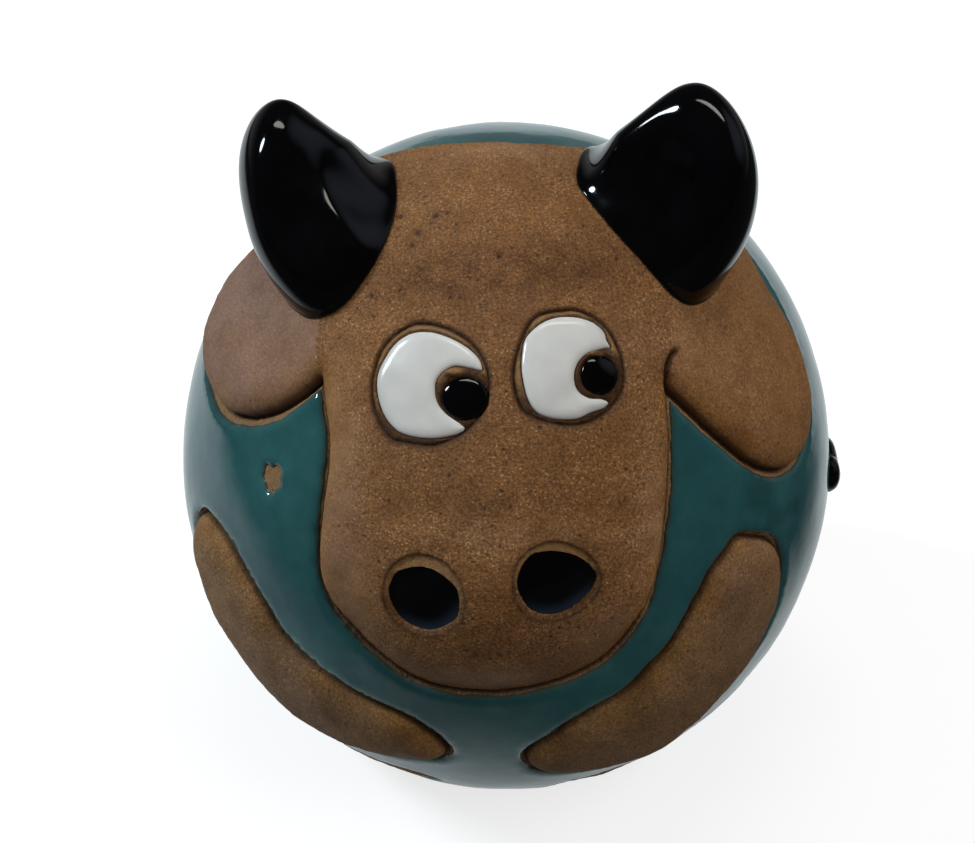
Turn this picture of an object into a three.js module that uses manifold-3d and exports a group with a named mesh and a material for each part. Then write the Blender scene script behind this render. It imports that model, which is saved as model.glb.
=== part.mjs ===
// Clay cow figurine: a hollow ball of fired clay, with a cow's head, ears, horns, legs and tail laid on it
// in relief, and glaze on the ball, the horns, the eyes, the nostrils and the tail's tuft.
// Millimetres, +Z up, and the cow looks along -Y. The origin is the centre of the flat foot that it stands
// on. Left and right are as seen from the front. Places on the face are millimetres over the ball, across
// and up from the face's middle. Places round the body are degrees: a turn from the front, positive to the
// right, and a rise above the ball's middle. Heights are measured outwards from the bare clay ball.

import * as THREE from "three";
import { mergeVertices } from "three/addons/utils/BufferGeometryUtils.js";
import Module from "manifold-3d";

const wasm = await Module();
wasm.setup();
const { Manifold, Mesh: SolidMesh } = wasm;

// The ball
const ballHeight = 78.4; // fore and aft too, over the glaze
const ballWidth = 76.0;
const footRadius = 17.0;
const clayWall = 4.6;
const ventRadius = 1.6;
const ventSetback = 10.5; // from the foot's centre towards the back

// How the pieces lie on the ball
const seamGap = 0.3; // between pieces that were stuck together
const glazeThickness = 0.6;
const glazeLine = 4.0; // bare clay above the foot
const grooveWidth = 1.1; // bare line scored round each relief
const reliefEdge = 0.7; // thickness of a relief at its rim
const reliefRound = 2.4; // how far in from the rim a relief is rounded

// The head, on the upper front of the ball
const faceRise = 38; // degrees from the horizon to the face's middle
const headThickness = 2.6;
const headOutline = [
  [0.9, 37.0], [-8.0, 37.2], [-15.0, 36.0], [-17.8, 28.0], [-18.6, 16.0], [-18.4, 4.0], [-17.1, -3.5],
  [-18.3, -12.0], [-17.3, -19.5], [-13.2, -24.8], [-6.5, -28.2], [1.4, -29.2], [9.5, -27.6], [15.6, -23.8],
  [18.6, -17.0], [19.9, -8.0], [20.0, 1.0], [19.2, 8.0], [18.6, 18.0], [17.2, 28.6], [13.0, 35.6],
];
const headMiddle = [0.9, 2.0];
const headSwells = [
  { across: 0.9, up: -17.0, wide: 15.0, tall: 9.5, rise: 2.6 }, // muzzle
  { across: 0.9, up: 24.0, wide: 14.0, tall: 10.0, rise: 0.9 }, // forehead
  { across: -5.9, up: 4.0, wide: 6.5, tall: 6.0, rise: 0.7 }, // round the left eye
  { across: 7.9, up: 6.0, wide: 6.5, tall: 6.0, rise: 0.7 }, // round the right eye
];

// Ears
const earThickness = 3.0;
const leftEarOutline = [
  [-14.0, 5.5], [-20.4, 3.3], [-26.0, 1.8], [-32.0, 1.6], [-37.8, 4.4], [-41.2, 9.0], [-42.4, 14.6],
  [-40.6, 20.4], [-35.4, 24.6], [-26.0, 26.0], [-14.0, 24.0],
];
const rightEarOutline = [
  [14.0, 9.0], [21.4, 3.9], [26.0, -0.2], [31.0, -2.6], [36.2, -3.0], [40.6, -1.2], [44.0, 3.0],
  [44.2, 8.4], [41.8, 15.2], [38.4, 21.0], [33.4, 26.0], [25.0, 28.0], [14.0, 25.0],
];

// Horns: ovals threaded on a bowed spine from the root to the tip. A tip and a bow lie so far away from the
// middle, to the back and up from the root's middle. A horn is toed in by its turn, in degrees, and slimmer
// towards its tip by a share, or fuller where the share is negative. An oval has half-lengths fore and aft
// and across.
const leftHorn = { root: [-20.4, 23.4], turn: 0, slim: 0.16, bow: [6.3, 1.8, 6.0], tip: [5.5, 4.0, 13.3] };
const rightHorn = { root: [19.4, 25.0], turn: 24, slim: -0.04, bow: [3.2, -1.1, 8.8], tip: [2.5, 3.7, 14.7] };
const hornOvals = [
  { along: 0.0, long: 11.6, wide: 8.8 },
  { along: 0.16, long: 10.8, wide: 8.2 },
  { along: 0.34, long: 9.8, wide: 7.7 },
  { along: 0.52, long: 8.5, wide: 7.0 },
  { along: 0.68, long: 6.9, wide: 6.0 },
  { along: 0.82, long: 5.0, wide: 4.5 },
  { along: 0.92, long: 3.2, wide: 2.9 },
  { along: 0.98, long: 1.5, wide: 1.4 },
];
const hornEgg = 0.2; // how much an oval is wider behind and narrower in front
const hornRoot = { deep: 6.5, long: 12.4, wide: 9.6 }; // the oval inside the ball, before trimming
const hornSeatReach = 22.0; // radius of skin that a horn's root is trimmed to
const hornSeatDepth = 20.0; // how far inside the ball the trimming starts

// Eyes: a white pool with a round bite for the black pupil
const eyeDepth = 0.9;
const eyeDome = 0.35;
const eyeLine = 0.5; // scored line round an eye, a pupil or a nostril
const leftEye = { across: -6.6, up: 3.5, wide: 5.2, tall: 5.5 };
const rightEye = { across: 7.8, up: 5.9, wide: 4.9, tall: 5.3 };
const leftPupil = { across: -2.5, up: 2.5, wide: 2.3, tall: 2.2 };
const rightPupil = { across: 11.4, up: 5.7, wide: 2.0, tall: 2.2 };
const pupilDome = 0.55;
const nostrilDepth = 1.9;
const nostrilSink = 0.7; // the black pool lies this far below the muzzle
const leftNostril = { across: -6.7, up: -17.5, wide: 3.8, tall: 3.9 };
const rightNostril = { across: 7.6, up: -15.6, wide: 4.1, tall: 3.7 };

// Legs, given down their middles from shoulder or haunch to toe, and laid on by hand, not quite alike
const frontLegThickness = 1.6;
const hindLegThickness = 1.2;
const leftFrontPath = [
  [-57.0, -1.0], [-51.0, -8.5], [-43.0, -13.6], [-34.5, -17.6], [-25.5, -21.0], [-15.5, -23.5],
];
const leftFrontHalfWidths = [5.6, 8.2, 7.6, 6.9, 6.0, 3.9];
const rightFrontPath = [
  [50.0, 1.0], [45.0, -4.8], [38.0, -10.8], [30.5, -16.4], [22.4, -21.0], [14.0, -24.3],
];
const rightFrontHalfWidths = [5.8, 7.4, 6.7, 6.0, 5.3, 3.7];
const leftHindPath = [
  [-92.0, -24.0], [-78.0, -31.5], [-63.0, -38.5], [-47.0, -44.0], [-32.0, -46.0], [-19.0, -44.0],
];
const rightHindPath = [
  [92.0, -25.0], [78.0, -33.0], [63.0, -40.5], [47.0, -45.5], [31.0, -47.0], [18.0, -45.5],
];
const hindHalfWidths = [4.4, 6.4, 6.0, 5.2, 4.4, 3.0];

// Tail, from the rump round to the right flank, ending in a tuft
const tailThickness = 1.8;
const tailPath = [
  [180.0, 30.0], [176.0, 12.0], [165.0, -5.0], [147.0, -15.0], [129.0, -15.0], [115.0, -10.0],
];
const tailHalfWidths = [1.8, 2.5, 2.3, 2.2, 2.2, 1.8];
const tuftThickness = 1.4;
const tuftPath = [[111.5, -8.4], [105.0, -5.0], [98.0, -2.2], [92.0, -0.8]];
const tuftHalfWidths = [1.8, 3.1, 3.4, 2.6];

// How finely things are faceted
const ballSteps = 36;
const hollowSteps = 20;
const headSteps = 40;
const earSteps = 24;
const hornSteps = 18;
const hornSeatSteps = 30;
const eyeSteps = 16;
const limbSteps = 12;
const limbRimPoints = 5;

// What follows from the sizes above
const ballRadius = ballHeight / 2;
const clayRadius = ballRadius - glazeThickness - seamGap;
const widthRatio = ballWidth / ballHeight;
const middleHeight = Math.sqrt(clayRadius ** 2 - footRadius ** 2);
const farOut = 9; // past every relief, for cutters
const farIn = -3; // inside the clay, for cutters
const radians = THREE.MathUtils.degToRad;

const terracotta = new THREE.MeshStandardMaterial({ color: 0x7a583c, roughness: 0.85, metalness: 0 });
const tealGlaze = new THREE.MeshStandardMaterial({ color: 0x24545a, roughness: 0.08, metalness: 0 });
const blackGlaze = new THREE.MeshStandardMaterial({ color: 0x08080a, roughness: 0.06, metalness: 0 });
const whiteGlaze = new THREE.MeshStandardMaterial({ color: 0xc8cac4, roughness: 0.1, metalness: 0 });

// Places on the ball

const faceOut = new THREE.Vector3(0, -Math.cos(radians(faceRise)), Math.sin(radians(faceRise)));
const faceAcross = new THREE.Vector3(1, 0, 0);
const faceUp = new THREE.Vector3(0, Math.sin(radians(faceRise)), Math.cos(radians(faceRise)));

// The direction from the ball's middle to a place on the face.
function onFace(across, up) {
  const distance = Math.hypot(across, up);
  if (distance < 1e-9) return faceOut.clone();
  const angle = distance / ballRadius;
  return faceOut
    .clone()
    .multiplyScalar(Math.cos(angle))
    .addScaledVector(faceAcross, (Math.sin(angle) * across) / distance)
    .addScaledVector(faceUp, (Math.sin(angle) * up) / distance);
}

// The direction from the ball's middle to a place round the body.
function onBody(turn, rise) {
  const t = radians(turn);
  const r = radians(rise);
  return new THREE.Vector3(Math.cos(r) * Math.sin(t), -Math.cos(r) * Math.cos(t), Math.sin(r));
}

// The point at a height over the clay ball, in a direction. The ball is narrower across than it is deep.
function lift(direction, height) {
  const p = direction.clone().multiplyScalar(clayRadius + height);
  return new THREE.Vector3(p.x * widthRatio, p.y, p.z + middleHeight);
}

// Solids

// Closes a stack of rings, each with the same number of points, between two end points.
function stackSolid(firstEnd, rings, lastEnd) {
  const count = rings[0].length;
  const points = [firstEnd, ...rings.flat(), lastEnd];
  const last = points.length - 1;
  const faces = [];
  for (let i = 0; i < count; i++) {
    const j = (i + 1) % count;
    faces.push(0, 1 + j, 1 + i);
    for (let k = 0; k + 1 < rings.length; k++) {
      const low = 1 + k * count;
      const high = low + count;
      faces.push(low + i, low + j, high + j, low + i, high + j, high + i);
    }
    const top = 1 + (rings.length - 1) * count;
    faces.push(top + i, top + j, last);
  }
  const places = points.flatMap((p) => p.toArray());
  const geometry = new THREE.BufferGeometry();
  geometry.setAttribute("position", new THREE.Float32BufferAttribute(places, 3));
  geometry.setIndex(faces);
  return solidOf(geometry);
}

// A closed three.js geometry as a solid that can be cut and joined.
function solidOf(geometry) {
  const bare = geometry.clone();
  bare.deleteAttribute("normal");
  bare.deleteAttribute("uv");
  const merged = mergeVertices(bare, 1e-4);
  const triVerts = new Uint32Array(merged.index.array);
  const vertProperties = merged.attributes.position.array;
  const made = new Manifold(new SolidMesh({ numProp: 3, vertProperties, triVerts }));
  if (made.volume() >= 0) return made;
  return new Manifold(new SolidMesh({ numProp: 3, vertProperties, triVerts: triVerts.reverse() }));
}

// A smooth closed outline through a few places on the face, as evenly spaced points.
function smoothOutline(places, steps) {
  const points = places.map(([across, up]) => new THREE.Vector3(across, up, 0));
  const curve = new THREE.CatmullRomCurve3(points, true, "centripetal");
  return curve.getSpacedPoints(steps).slice(0, steps).map((p) => [p.x, p.y]);
}

// An oval on the face, as points. A hand-drawn eye or nostril is near enough an ellipse.
function oval({ across, up, wide, tall }, grow = 0) {
  return Array.from({ length: eyeSteps }, (_, i) => {
    const angle = (2 * Math.PI * i) / eyeSteps;
    return [across + (wide + grow) * Math.cos(angle), up + (tall + grow) * Math.sin(angle)];
  });
}

// The same outline moved outwards by a distance.
function grown(outline, distance) {
  const area = outline.reduce((sum, [a, u], i) => {
    const [b, v] = outline[(i + 1) % outline.length];
    return sum + a * v - b * u;
  }, 0);
  const side = Math.sign(area) * distance;
  return outline.map(([a, u], i) => {
    const before = outline[(i + outline.length - 1) % outline.length];
    const after = outline[(i + 1) % outline.length];
    const run = [after[0] - before[0], after[1] - before[1]];
    const length = Math.hypot(...run);
    return [a + (side * run[1]) / length, u - (side * run[0]) / length];
  });
}

// A slab on the face inside an outline, between two heights, each a function of the place and of how far
// in from the rim it lies. Insets are distances in from the rim, and shares the rest of the way to the
// middle.
function slab(outline, middle, floor, top, insets, shares) {
  const ringAt = (height, inset, share) =>
    outline.map(([a, u]) => {
      const reach = Math.hypot(a - middle[0], u - middle[1]);
      const left = (Math.max(reach - inset, 0.2 * reach) * (1 - share)) / reach;
      const place = [middle[0] + (a - middle[0]) * left, middle[1] + (u - middle[1]) * left];
      return lift(onFace(...place), height(...place, reach * (1 - left)));
    });
  const deep = Math.max(...outline.map(([a, u]) => Math.hypot(a - middle[0], u - middle[1])));
  const floorRings = [...shares].reverse().map((share) => ringAt(floor, 0, share));
  const topRings = [
    ...insets.map((inset) => ringAt(top, inset, 0)),
    ...shares.slice(1).map((share) => ringAt(top, insets.at(-1), share)),
  ];
  return stackSolid(
    lift(onFace(...middle), floor(...middle, deep)),
    [...floorRings, ...topRings],
    lift(onFace(...middle), top(...middle, deep)),
  );
}

// How much of a relief's height it has at a distance in from its rim: a quarter round, then level.
function rounded(inset, round = reliefRound) {
  const left = 1 - Math.min(inset / round, 1);
  return Math.sqrt(1 - left * left);
}

// A relief's skin: its rim's thickness, rising to its full height.
function reliefHeight(full, inset, round = reliefRound) {
  return seamGap + reliefEdge + (full - seamGap - reliefEdge) * rounded(inset, round);
}

const always = (height) => () => height;
const wideInsets = [0, 0.35, 1.1, reliefRound];

// A straight-sided cutter over an outline on the face.
function faceCutter(outline, middle, low = farIn, high = farOut) {
  return slab(outline, middle, always(low), always(high), [0], [0, 0.3, 0.55, 0.8]);
}

// A relief that follows a path round the body, with half-widths at the same stations, between two heights
// that depend on how far in from the rim a point lies. Grow widens and lengthens it.
function limb(path, halfWidths, floor, top, grow = 0) {
  const places = path.map(([turn, rise]) => onBody(turn, rise));
  const spine = new THREE.CatmullRomCurve3(places, false, "centripetal");
  const halfWidthAt = (t) => {
    const station = t * (path.length - 1);
    const k = Math.min(Math.floor(station), path.length - 2);
    const share = THREE.MathUtils.smoothstep(station - k, 0, 1);
    return THREE.MathUtils.lerp(halfWidths[k], halfWidths[k + 1], share);
  };
  const frameAt = (t) => {
    const out = spine.getPoint(t).normalize();
    const along = spine.getTangent(t);
    const side = new THREE.Vector3().crossVectors(along, out).normalize();
    return { out, side, along: new THREE.Vector3().crossVectors(out, side).normalize() };
  };
  const step = (direction, towards, distance) => {
    const angle = distance / ballRadius;
    return direction.clone().multiplyScalar(Math.cos(angle)).addScaledVector(towards, Math.sin(angle));
  };
  // The ends are half rounds: stations past the path's two ends, narrowing to a point.
  const endRound = (t, sign) => {
    const half = halfWidthAt(t) + grow;
    const { out, side, along } = frameAt(t);
    const towards = along.multiplyScalar(sign);
    const caps = [0.35, 0.75].map((share) => {
      const angle = (share * Math.PI) / 2;
      return { out: step(out, towards, half * Math.sin(angle)), side, half: half * Math.cos(angle) };
    });
    return { caps, end: lift(step(out, towards, half), (floor(0, half) + top(0, half)) / 2) };
  };
  const first = endRound(0, -1);
  const last = endRound(1, 1);
  const middles = Array.from({ length: limbSteps + 1 }, (_, i) => {
    const t = i / limbSteps;
    return { ...frameAt(t), half: halfWidthAt(t) + grow };
  });
  const rim = Array.from({ length: limbRimPoints + 1 }, (_, i) => -Math.cos((Math.PI * i) / limbRimPoints));
  const bed = [0.9, 0.35, -0.35, -0.9];
  const rings = [...first.caps.reverse(), ...middles, ...last.caps].map(({ out, side, half }) => {
    const at = (x, height) => lift(step(out, side, x * half), height(half * (1 - Math.abs(x)), half));
    return [...rim.map((x) => at(x, top)), ...bed.map((x) => at(x, floor))];
  });
  return stackSolid(first.end, rings, last.end);
}

// A relief limb's skin is a soft arch, no higher than its width allows.
function archedHeight(full, inset, half) {
  return reliefHeight(full, inset, Math.min(half, 2 * reliefRound));
}

// The head's skin over the clay ball, swelling at the muzzle, the forehead and the eyes.
function headHeight(across, up) {
  return headSwells.reduce((height, s) => {
    const away = Math.hypot((across - s.across) / s.wide, (up - s.up) / s.tall);
    return height + s.rise * Math.exp(-(away ** 2));
  }, headThickness);
}

// Body

function makeBall() {
  const profile = [new THREE.Vector2(0, 0)];
  const footAngle = Math.asin(footRadius / clayRadius);
  for (let i = 0; i <= ballSteps / 2; i++) {
    const angle = footAngle + ((Math.PI - footAngle) * i) / (ballSteps / 2);
    const height = middleHeight - Math.cos(angle) * clayRadius;
    profile.push(new THREE.Vector2(Math.sin(angle) * clayRadius, height));
  }
  profile.at(-1).x = 0;
  const turned = new THREE.LatheGeometry(profile, ballSteps).rotateX(Math.PI / 2);
  const ball = solidOf(turned.scale(widthRatio, 1, 1));
  const hollow = solidOf(
    new THREE.SphereGeometry(clayRadius - clayWall, hollowSteps, hollowSteps / 2)
      .scale(widthRatio, 1, 1)
      .translate(0, 0, middleHeight),
  );
  const across = 4 * clayRadius; // past the ball on every side
  const floorOfHollow = boxSolid(across, across, 2 * clayRadius, 0, 0, clayWall - clayRadius);
  const vent = solidOf(
    new THREE.CylinderGeometry(ventRadius, ventRadius, 4 * clayWall, hollowSteps)
      .rotateX(Math.PI / 2)
      .translate(0, ventSetback, 0),
  );
  return ball.subtract(hollow.subtract(floorOfHollow)).subtract(vent);
}

function boxSolid(wide, deep, high, x, y, z) {
  return solidOf(new THREE.BoxGeometry(wide, deep, high).translate(x, y, z));
}

// Head, ears and what is set into the face

const headRim = smoothOutline(headOutline, headSteps);
const headShares = [0, 0.22, 0.44, 0.66, 0.86];

function eyeCutter(place, depth) {
  const middle = [place.across, place.up];
  const height = headHeight(...middle);
  const floor = (a, u) => headHeight(a, u) - depth;
  return slab(oval(place, eyeLine), middle, floor, always(height + farOut), [0], [0, 0.5]);
}

function makeHead() {
  const skin = (a, u, inset) => reliefHeight(headHeight(a, u), inset);
  let head = slab(headRim, headMiddle, always(seamGap), skin, wideInsets, headShares);
  for (const place of [leftEye, rightEye, leftPupil, rightPupil]) {
    head = head.subtract(eyeCutter(place, eyeDepth));
  }
  for (const place of [leftNostril, rightNostril]) head = head.subtract(eyeCutter(place, nostrilDepth));
  return head;
}

// A pool of glaze in its hollow, thick at the middle and thin at its rim.
function pool(place, depth, sink, dome) {
  const floor = (a, u) => headHeight(a, u) - depth + seamGap;
  const shore = 0.7 * dome; // the rim lies this far below the skin round it
  const skin = (a, u, inset) =>
    headHeight(a, u) - sink - shore + dome * rounded(inset, Math.min(place.wide, place.tall));
  return slab(oval(place), [place.across, place.up], floor, skin, [0, 0.3, 0.9], [0, 0.4, 0.75]);
}

function makeEyeWhite(eye, pupil) {
  return pool(eye, eyeDepth, 0, eyeDome).subtract(eyeCutter(pupil, 2 * eyeDepth));
}

function makeEar(outline, middle) {
  const rim = smoothOutline(outline, earSteps);
  const skin = (a, u, inset) => reliefHeight(earThickness, inset);
  const ear = slab(rim, middle, always(seamGap), skin, wideInsets, [0, 0.35, 0.7]);
  return ear.subtract(faceCutter(grown(headRim, seamGap), headMiddle));
}

const middleOf = (outline) => [0, 1].map((k) => outline.reduce((sum, p) => sum + p[k], 0) / outline.length);

// Horns

// A horn's stack of ovals, drawn in by an inset all over.
function hornBlank({ root, turn, slim, bow, tip }, inset) {
  const side = Math.sign(root[0]);
  const out = onFace(...root);
  const foot = lift(out, headThickness);
  const from = ([away, back, up]) => foot.clone().add(new THREE.Vector3(side * away, back, up));
  const spine = new THREE.QuadraticBezierCurve3(foot, from(bow), from(tip));
  const toe = radians(turn);
  const back = onFace(root[0] - side * Math.sin(toe), root[1] + Math.cos(toe)).sub(out).normalize();
  const ring = (middle, along, long, wide) => {
    const across = new THREE.Vector3().crossVectors(along, back).normalize();
    const fore = new THREE.Vector3().crossVectors(across, along);
    return Array.from({ length: hornSteps }, (_, i) => {
      const angle = (2 * Math.PI * i) / hornSteps;
      return middle
        .clone()
        .addScaledVector(fore, (long - inset) * Math.cos(angle))
        .addScaledVector(across, (wide - inset) * (1 + hornEgg * Math.cos(angle)) * Math.sin(angle));
    });
  };
  const sunk = foot.clone().addScaledVector(out, -hornRoot.deep);
  const rings = hornOvals.map(({ along, long, wide }) => {
    const slope = spine.getTangentAt(along);
    const share = 1 - slim * along;
    const middle = spine.getPointAt(along).addScaledVector(slope, -inset * along);
    return ring(middle, slope, long * share, wide * share);
  });
  const end = spine.getPointAt(1).addScaledVector(spine.getTangentAt(1), -inset);
  return stackSolid(sunk, [ring(sunk, out, hornRoot.long, hornRoot.wide), ...rings], end);
}

// The skin that a horn's root is shaped to: the head, the ear and the ball beside them.
function hornSeat({ root }, grow) {
  const rim = Array.from({ length: hornSeatSteps }, (_, i) => {
    const angle = (2 * Math.PI * i) / hornSeatSteps;
    return [root[0] + hornSeatReach * Math.cos(angle), root[1] + hornSeatReach * Math.sin(angle)];
  });
  const skin = (a, u) => Math.max(headHeight(a, u), earThickness) + grow;
  return slab(rim, root, always(-hornSeatDepth), skin, [0], [0, 0.15, 0.3, 0.45, 0.6, 0.75, 0.9]);
}

function makeHorn(horn) {
  return hornBlank(horn, glazeThickness + seamGap).subtract(hornSeat(horn, seamGap));
}

function makeHornGlaze(horn) {
  return hornBlank(horn, 0).subtract(hornBlank(horn, glazeThickness)).subtract(hornSeat(horn, seamGap));
}

// Legs, tail and tuft

const reliefSkin = (full) => (inset, half) => archedHeight(full, inset, half);

function makeLimb(path, halfWidths, thickness) {
  return limb(path, halfWidths, always(seamGap), reliefSkin(thickness));
}

function limbCutter(path, halfWidths) {
  return limb(path, halfWidths, always(farIn), always(farOut), grooveWidth);
}

function makeTail() {
  const tuftSeat = limb(tuftPath, tuftHalfWidths, always(farIn), always(farOut), seamGap);
  return makeLimb(tailPath, tailHalfWidths, tailThickness).subtract(tuftSeat);
}

function makeTuftGlaze() {
  const under = (inset, half) => archedHeight(tuftThickness, inset, half) + seamGap;
  const over = (inset, half) => under(inset, half) + glazeThickness;
  return limb(tuftPath, tuftHalfWidths, under, over);
}

// The ball's glaze stops at a scored line round each relief, and short of the foot.
function makeBallGlaze() {
  const sphere = (radius) =>
    solidOf(
      new THREE.SphereGeometry(radius, ballSteps, ballSteps / 2)
        .rotateX(Math.PI / 2)
        .scale(widthRatio, 1, 1)
        .translate(0, 0, middleHeight),
    );
  let glaze = sphere(ballRadius).subtract(sphere(clayRadius + seamGap));
  const cutters = [
    faceCutter(grown(headRim, grooveWidth), headMiddle),
    faceCutter(grown(smoothOutline(leftEarOutline, earSteps), grooveWidth), middleOf(leftEarOutline)),
    faceCutter(grown(smoothOutline(rightEarOutline, earSteps), grooveWidth), middleOf(rightEarOutline)),
    hornBlank(leftHorn, -grooveWidth),
    hornBlank(rightHorn, -grooveWidth),
    limbCutter(leftFrontPath, leftFrontHalfWidths),
    limbCutter(rightFrontPath, rightFrontHalfWidths),
    limbCutter(leftHindPath, hindHalfWidths),
    limbCutter(rightHindPath, hindHalfWidths),
    limbCutter(tailPath, tailHalfWidths),
    limbCutter(tuftPath, tuftHalfWidths),
    boxSolid(4 * ballRadius, 4 * ballRadius, ballRadius, 0, 0, glazeLine - ballRadius / 2),
  ];
  for (const cutter of cutters) glaze = glaze.subtract(cutter);
  return glaze;
}

// Assembly

const cow = new THREE.Group();

function add(name, solid, material) {
  const { vertProperties, triVerts } = solid.getMesh();
  const geometry = new THREE.BufferGeometry();
  geometry.setAttribute("position", new THREE.BufferAttribute(vertProperties, 3));
  geometry.setIndex(new THREE.BufferAttribute(triVerts, 1));
  geometry.computeVertexNormals();
  const mesh = new THREE.Mesh(geometry, material);
  mesh.name = name;
  cow.add(mesh);
}

add("body", makeBall(), terracotta);
add("body_glaze", makeBallGlaze(), tealGlaze);
add("head", makeHead(), terracotta);
add("left_ear", makeEar(leftEarOutline, middleOf(leftEarOutline)), terracotta);
add("right_ear", makeEar(rightEarOutline, middleOf(rightEarOutline)), terracotta);
add("left_horn", makeHorn(leftHorn), terracotta);
add("right_horn", makeHorn(rightHorn), terracotta);
add("left_horn_glaze", makeHornGlaze(leftHorn), blackGlaze);
add("right_horn_glaze", makeHornGlaze(rightHorn), blackGlaze);
add("left_eye_white", makeEyeWhite(leftEye, leftPupil), whiteGlaze);
add("right_eye_white", makeEyeWhite(rightEye, rightPupil), whiteGlaze);
add("left_pupil", pool(leftPupil, eyeDepth, 0, pupilDome), blackGlaze);
add("right_pupil", pool(rightPupil, eyeDepth, 0, pupilDome), blackGlaze);
add("left_nostril", pool(leftNostril, nostrilDepth, nostrilSink, eyeDome), blackGlaze);
add("right_nostril", pool(rightNostril, nostrilDepth, nostrilSink, eyeDome), blackGlaze);
add("left_front_leg", makeLimb(leftFrontPath, leftFrontHalfWidths, frontLegThickness), terracotta);
add("right_front_leg", makeLimb(rightFrontPath, rightFrontHalfWidths, frontLegThickness), terracotta);
add("left_hind_leg", makeLimb(leftHindPath, hindHalfWidths, hindLegThickness), terracotta);
add("right_hind_leg", makeLimb(rightHindPath, hindHalfWidths, hindLegThickness), terracotta);
add("tail", makeTail(), terracotta);
add("tail_tuft", makeLimb(tuftPath, tuftHalfWidths, tuftThickness), terracotta);
add("tail_tuft_glaze", makeTuftGlaze(), blackGlaze);

export default cow;
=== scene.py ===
import math

import bpy
import numpy as np
from mathutils import Matrix, Vector, kdtree
from mathutils.geometry import delaunay_2d_cdt


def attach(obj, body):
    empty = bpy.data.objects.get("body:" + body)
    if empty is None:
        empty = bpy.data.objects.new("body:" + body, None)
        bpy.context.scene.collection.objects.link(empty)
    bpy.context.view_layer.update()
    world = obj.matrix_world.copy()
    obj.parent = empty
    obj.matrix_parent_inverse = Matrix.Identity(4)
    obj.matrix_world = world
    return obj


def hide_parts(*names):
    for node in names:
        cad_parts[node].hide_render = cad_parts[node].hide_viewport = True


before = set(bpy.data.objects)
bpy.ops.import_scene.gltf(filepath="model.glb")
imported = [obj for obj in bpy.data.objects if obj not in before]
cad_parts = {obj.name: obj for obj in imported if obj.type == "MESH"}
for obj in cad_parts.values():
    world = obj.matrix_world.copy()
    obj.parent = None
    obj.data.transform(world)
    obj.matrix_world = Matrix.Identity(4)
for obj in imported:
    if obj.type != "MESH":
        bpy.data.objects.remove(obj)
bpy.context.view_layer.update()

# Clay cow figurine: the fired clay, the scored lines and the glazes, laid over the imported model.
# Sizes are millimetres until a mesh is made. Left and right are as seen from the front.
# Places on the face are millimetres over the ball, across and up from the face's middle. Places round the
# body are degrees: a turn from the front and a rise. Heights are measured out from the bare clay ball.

mm = 0.001
print("cow: the frame is loaded")

# The camera

camera = {"place": (15.93, -276.30, 214.05), "looks": (-0.0553315, 0.84334012, -0.53452396), "lens": 102.83}


def addCamera():
    data = bpy.data.cameras.new("camera")
    data.lens = camera["lens"]
    data.sensor_width = 36
    data.clip_start = 0.01
    data.clip_end = 20
    eye = bpy.data.objects.new("camera", data)
    eye.location = Vector(camera["place"]) * mm
    eye.rotation_euler = Vector(camera["looks"]).to_track_quat("-Z", "Y").to_euler()
    bpy.context.scene.collection.objects.link(eye)
    bpy.context.scene.camera = eye


addCamera()

# The ball, and places on it

ball = {
    "radius": 39.2,  # over the glaze
    "clay": 38.3,  # to the floor of the scored lines
    "skin": 0.5,  # the clay's own surface
    "glaze": 0.92,  # the glaze's surface
    "narrow": 76.0 / 78.4,  # how much narrower than deep it is
    "foot": 17.0,  # radius of the flat that it stands on, before its edge is rounded
    "wall": 4.6,
    "vent": 1.6,  # radius of the hole in the foot
    "ventSetback": 10.5,
    "faceRise": 38.0,  # degrees from level to the middle of the face
    "footEdge": [(17.9, 0.35), (17.3, 0.1), (16.6, 0.0)],  # radius and height of each ring round the foot
}
middleHeight = math.sqrt(ball["clay"] ** 2 - ball["foot"] ** 2)
tilt = math.radians(ball["faceRise"])
faceOut = np.array([0.0, -math.cos(tilt), math.sin(tilt)])
faceAcross = np.array([1.0, 0.0, 0.0])
faceUp = np.array([0.0, math.sin(tilt), math.cos(tilt)])
down = np.array([0.0, 0.0, -1.0])


def unit(v):
    return v / np.maximum(np.linalg.norm(v, axis=-1, keepdims=True), 1e-12)


# The angle from one direction to each of many.
def angleTo(d, aim):
    return np.arccos(np.clip(d @ aim, -1, 1))


def onFace(places):
    p = np.atleast_2d(np.array(places, float))
    far = np.maximum(np.hypot(p[:, 0], p[:, 1]), 1e-9)[:, None]
    angle = far / ball["radius"]
    side = (p[:, :1] * faceAcross + p[:, 1:2] * faceUp) / far
    return np.cos(angle) * faceOut + np.sin(angle) * side


def toFace(d):
    across = d @ faceAcross
    up = d @ faceUp
    angle = angleTo(d, faceOut)
    scale = angle * ball["radius"] / np.maximum(np.hypot(across, up), 1e-9)
    return across * scale, up * scale


def onBody(places):
    p = np.radians(np.atleast_2d(np.array(places, float)))
    turn, rise = p[:, 0], p[:, 1]
    return np.stack([np.cos(rise) * np.sin(turn), -np.cos(rise) * np.cos(turn), np.sin(rise)], 1)


def lift(d, height):
    p = d * (ball["clay"] + np.asarray(height))[..., None]
    return p * [ball["narrow"], 1, 1] + [0, 0, middleHeight]


# A smooth random field, about -1 to 1, whose lumps are some millimetres across.
def lumps(d, size, seed, count=28):
    rng = np.random.default_rng(seed)
    waves = unit(rng.normal(size=(count, 3))) * rng.uniform(0.6, 1.5, (count, 1)) * math.tau / size
    return np.cos(d * ball["radius"] @ waves.T + rng.uniform(0, math.tau, count)).sum(1) * 0.19


# Loops on the ball


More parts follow.
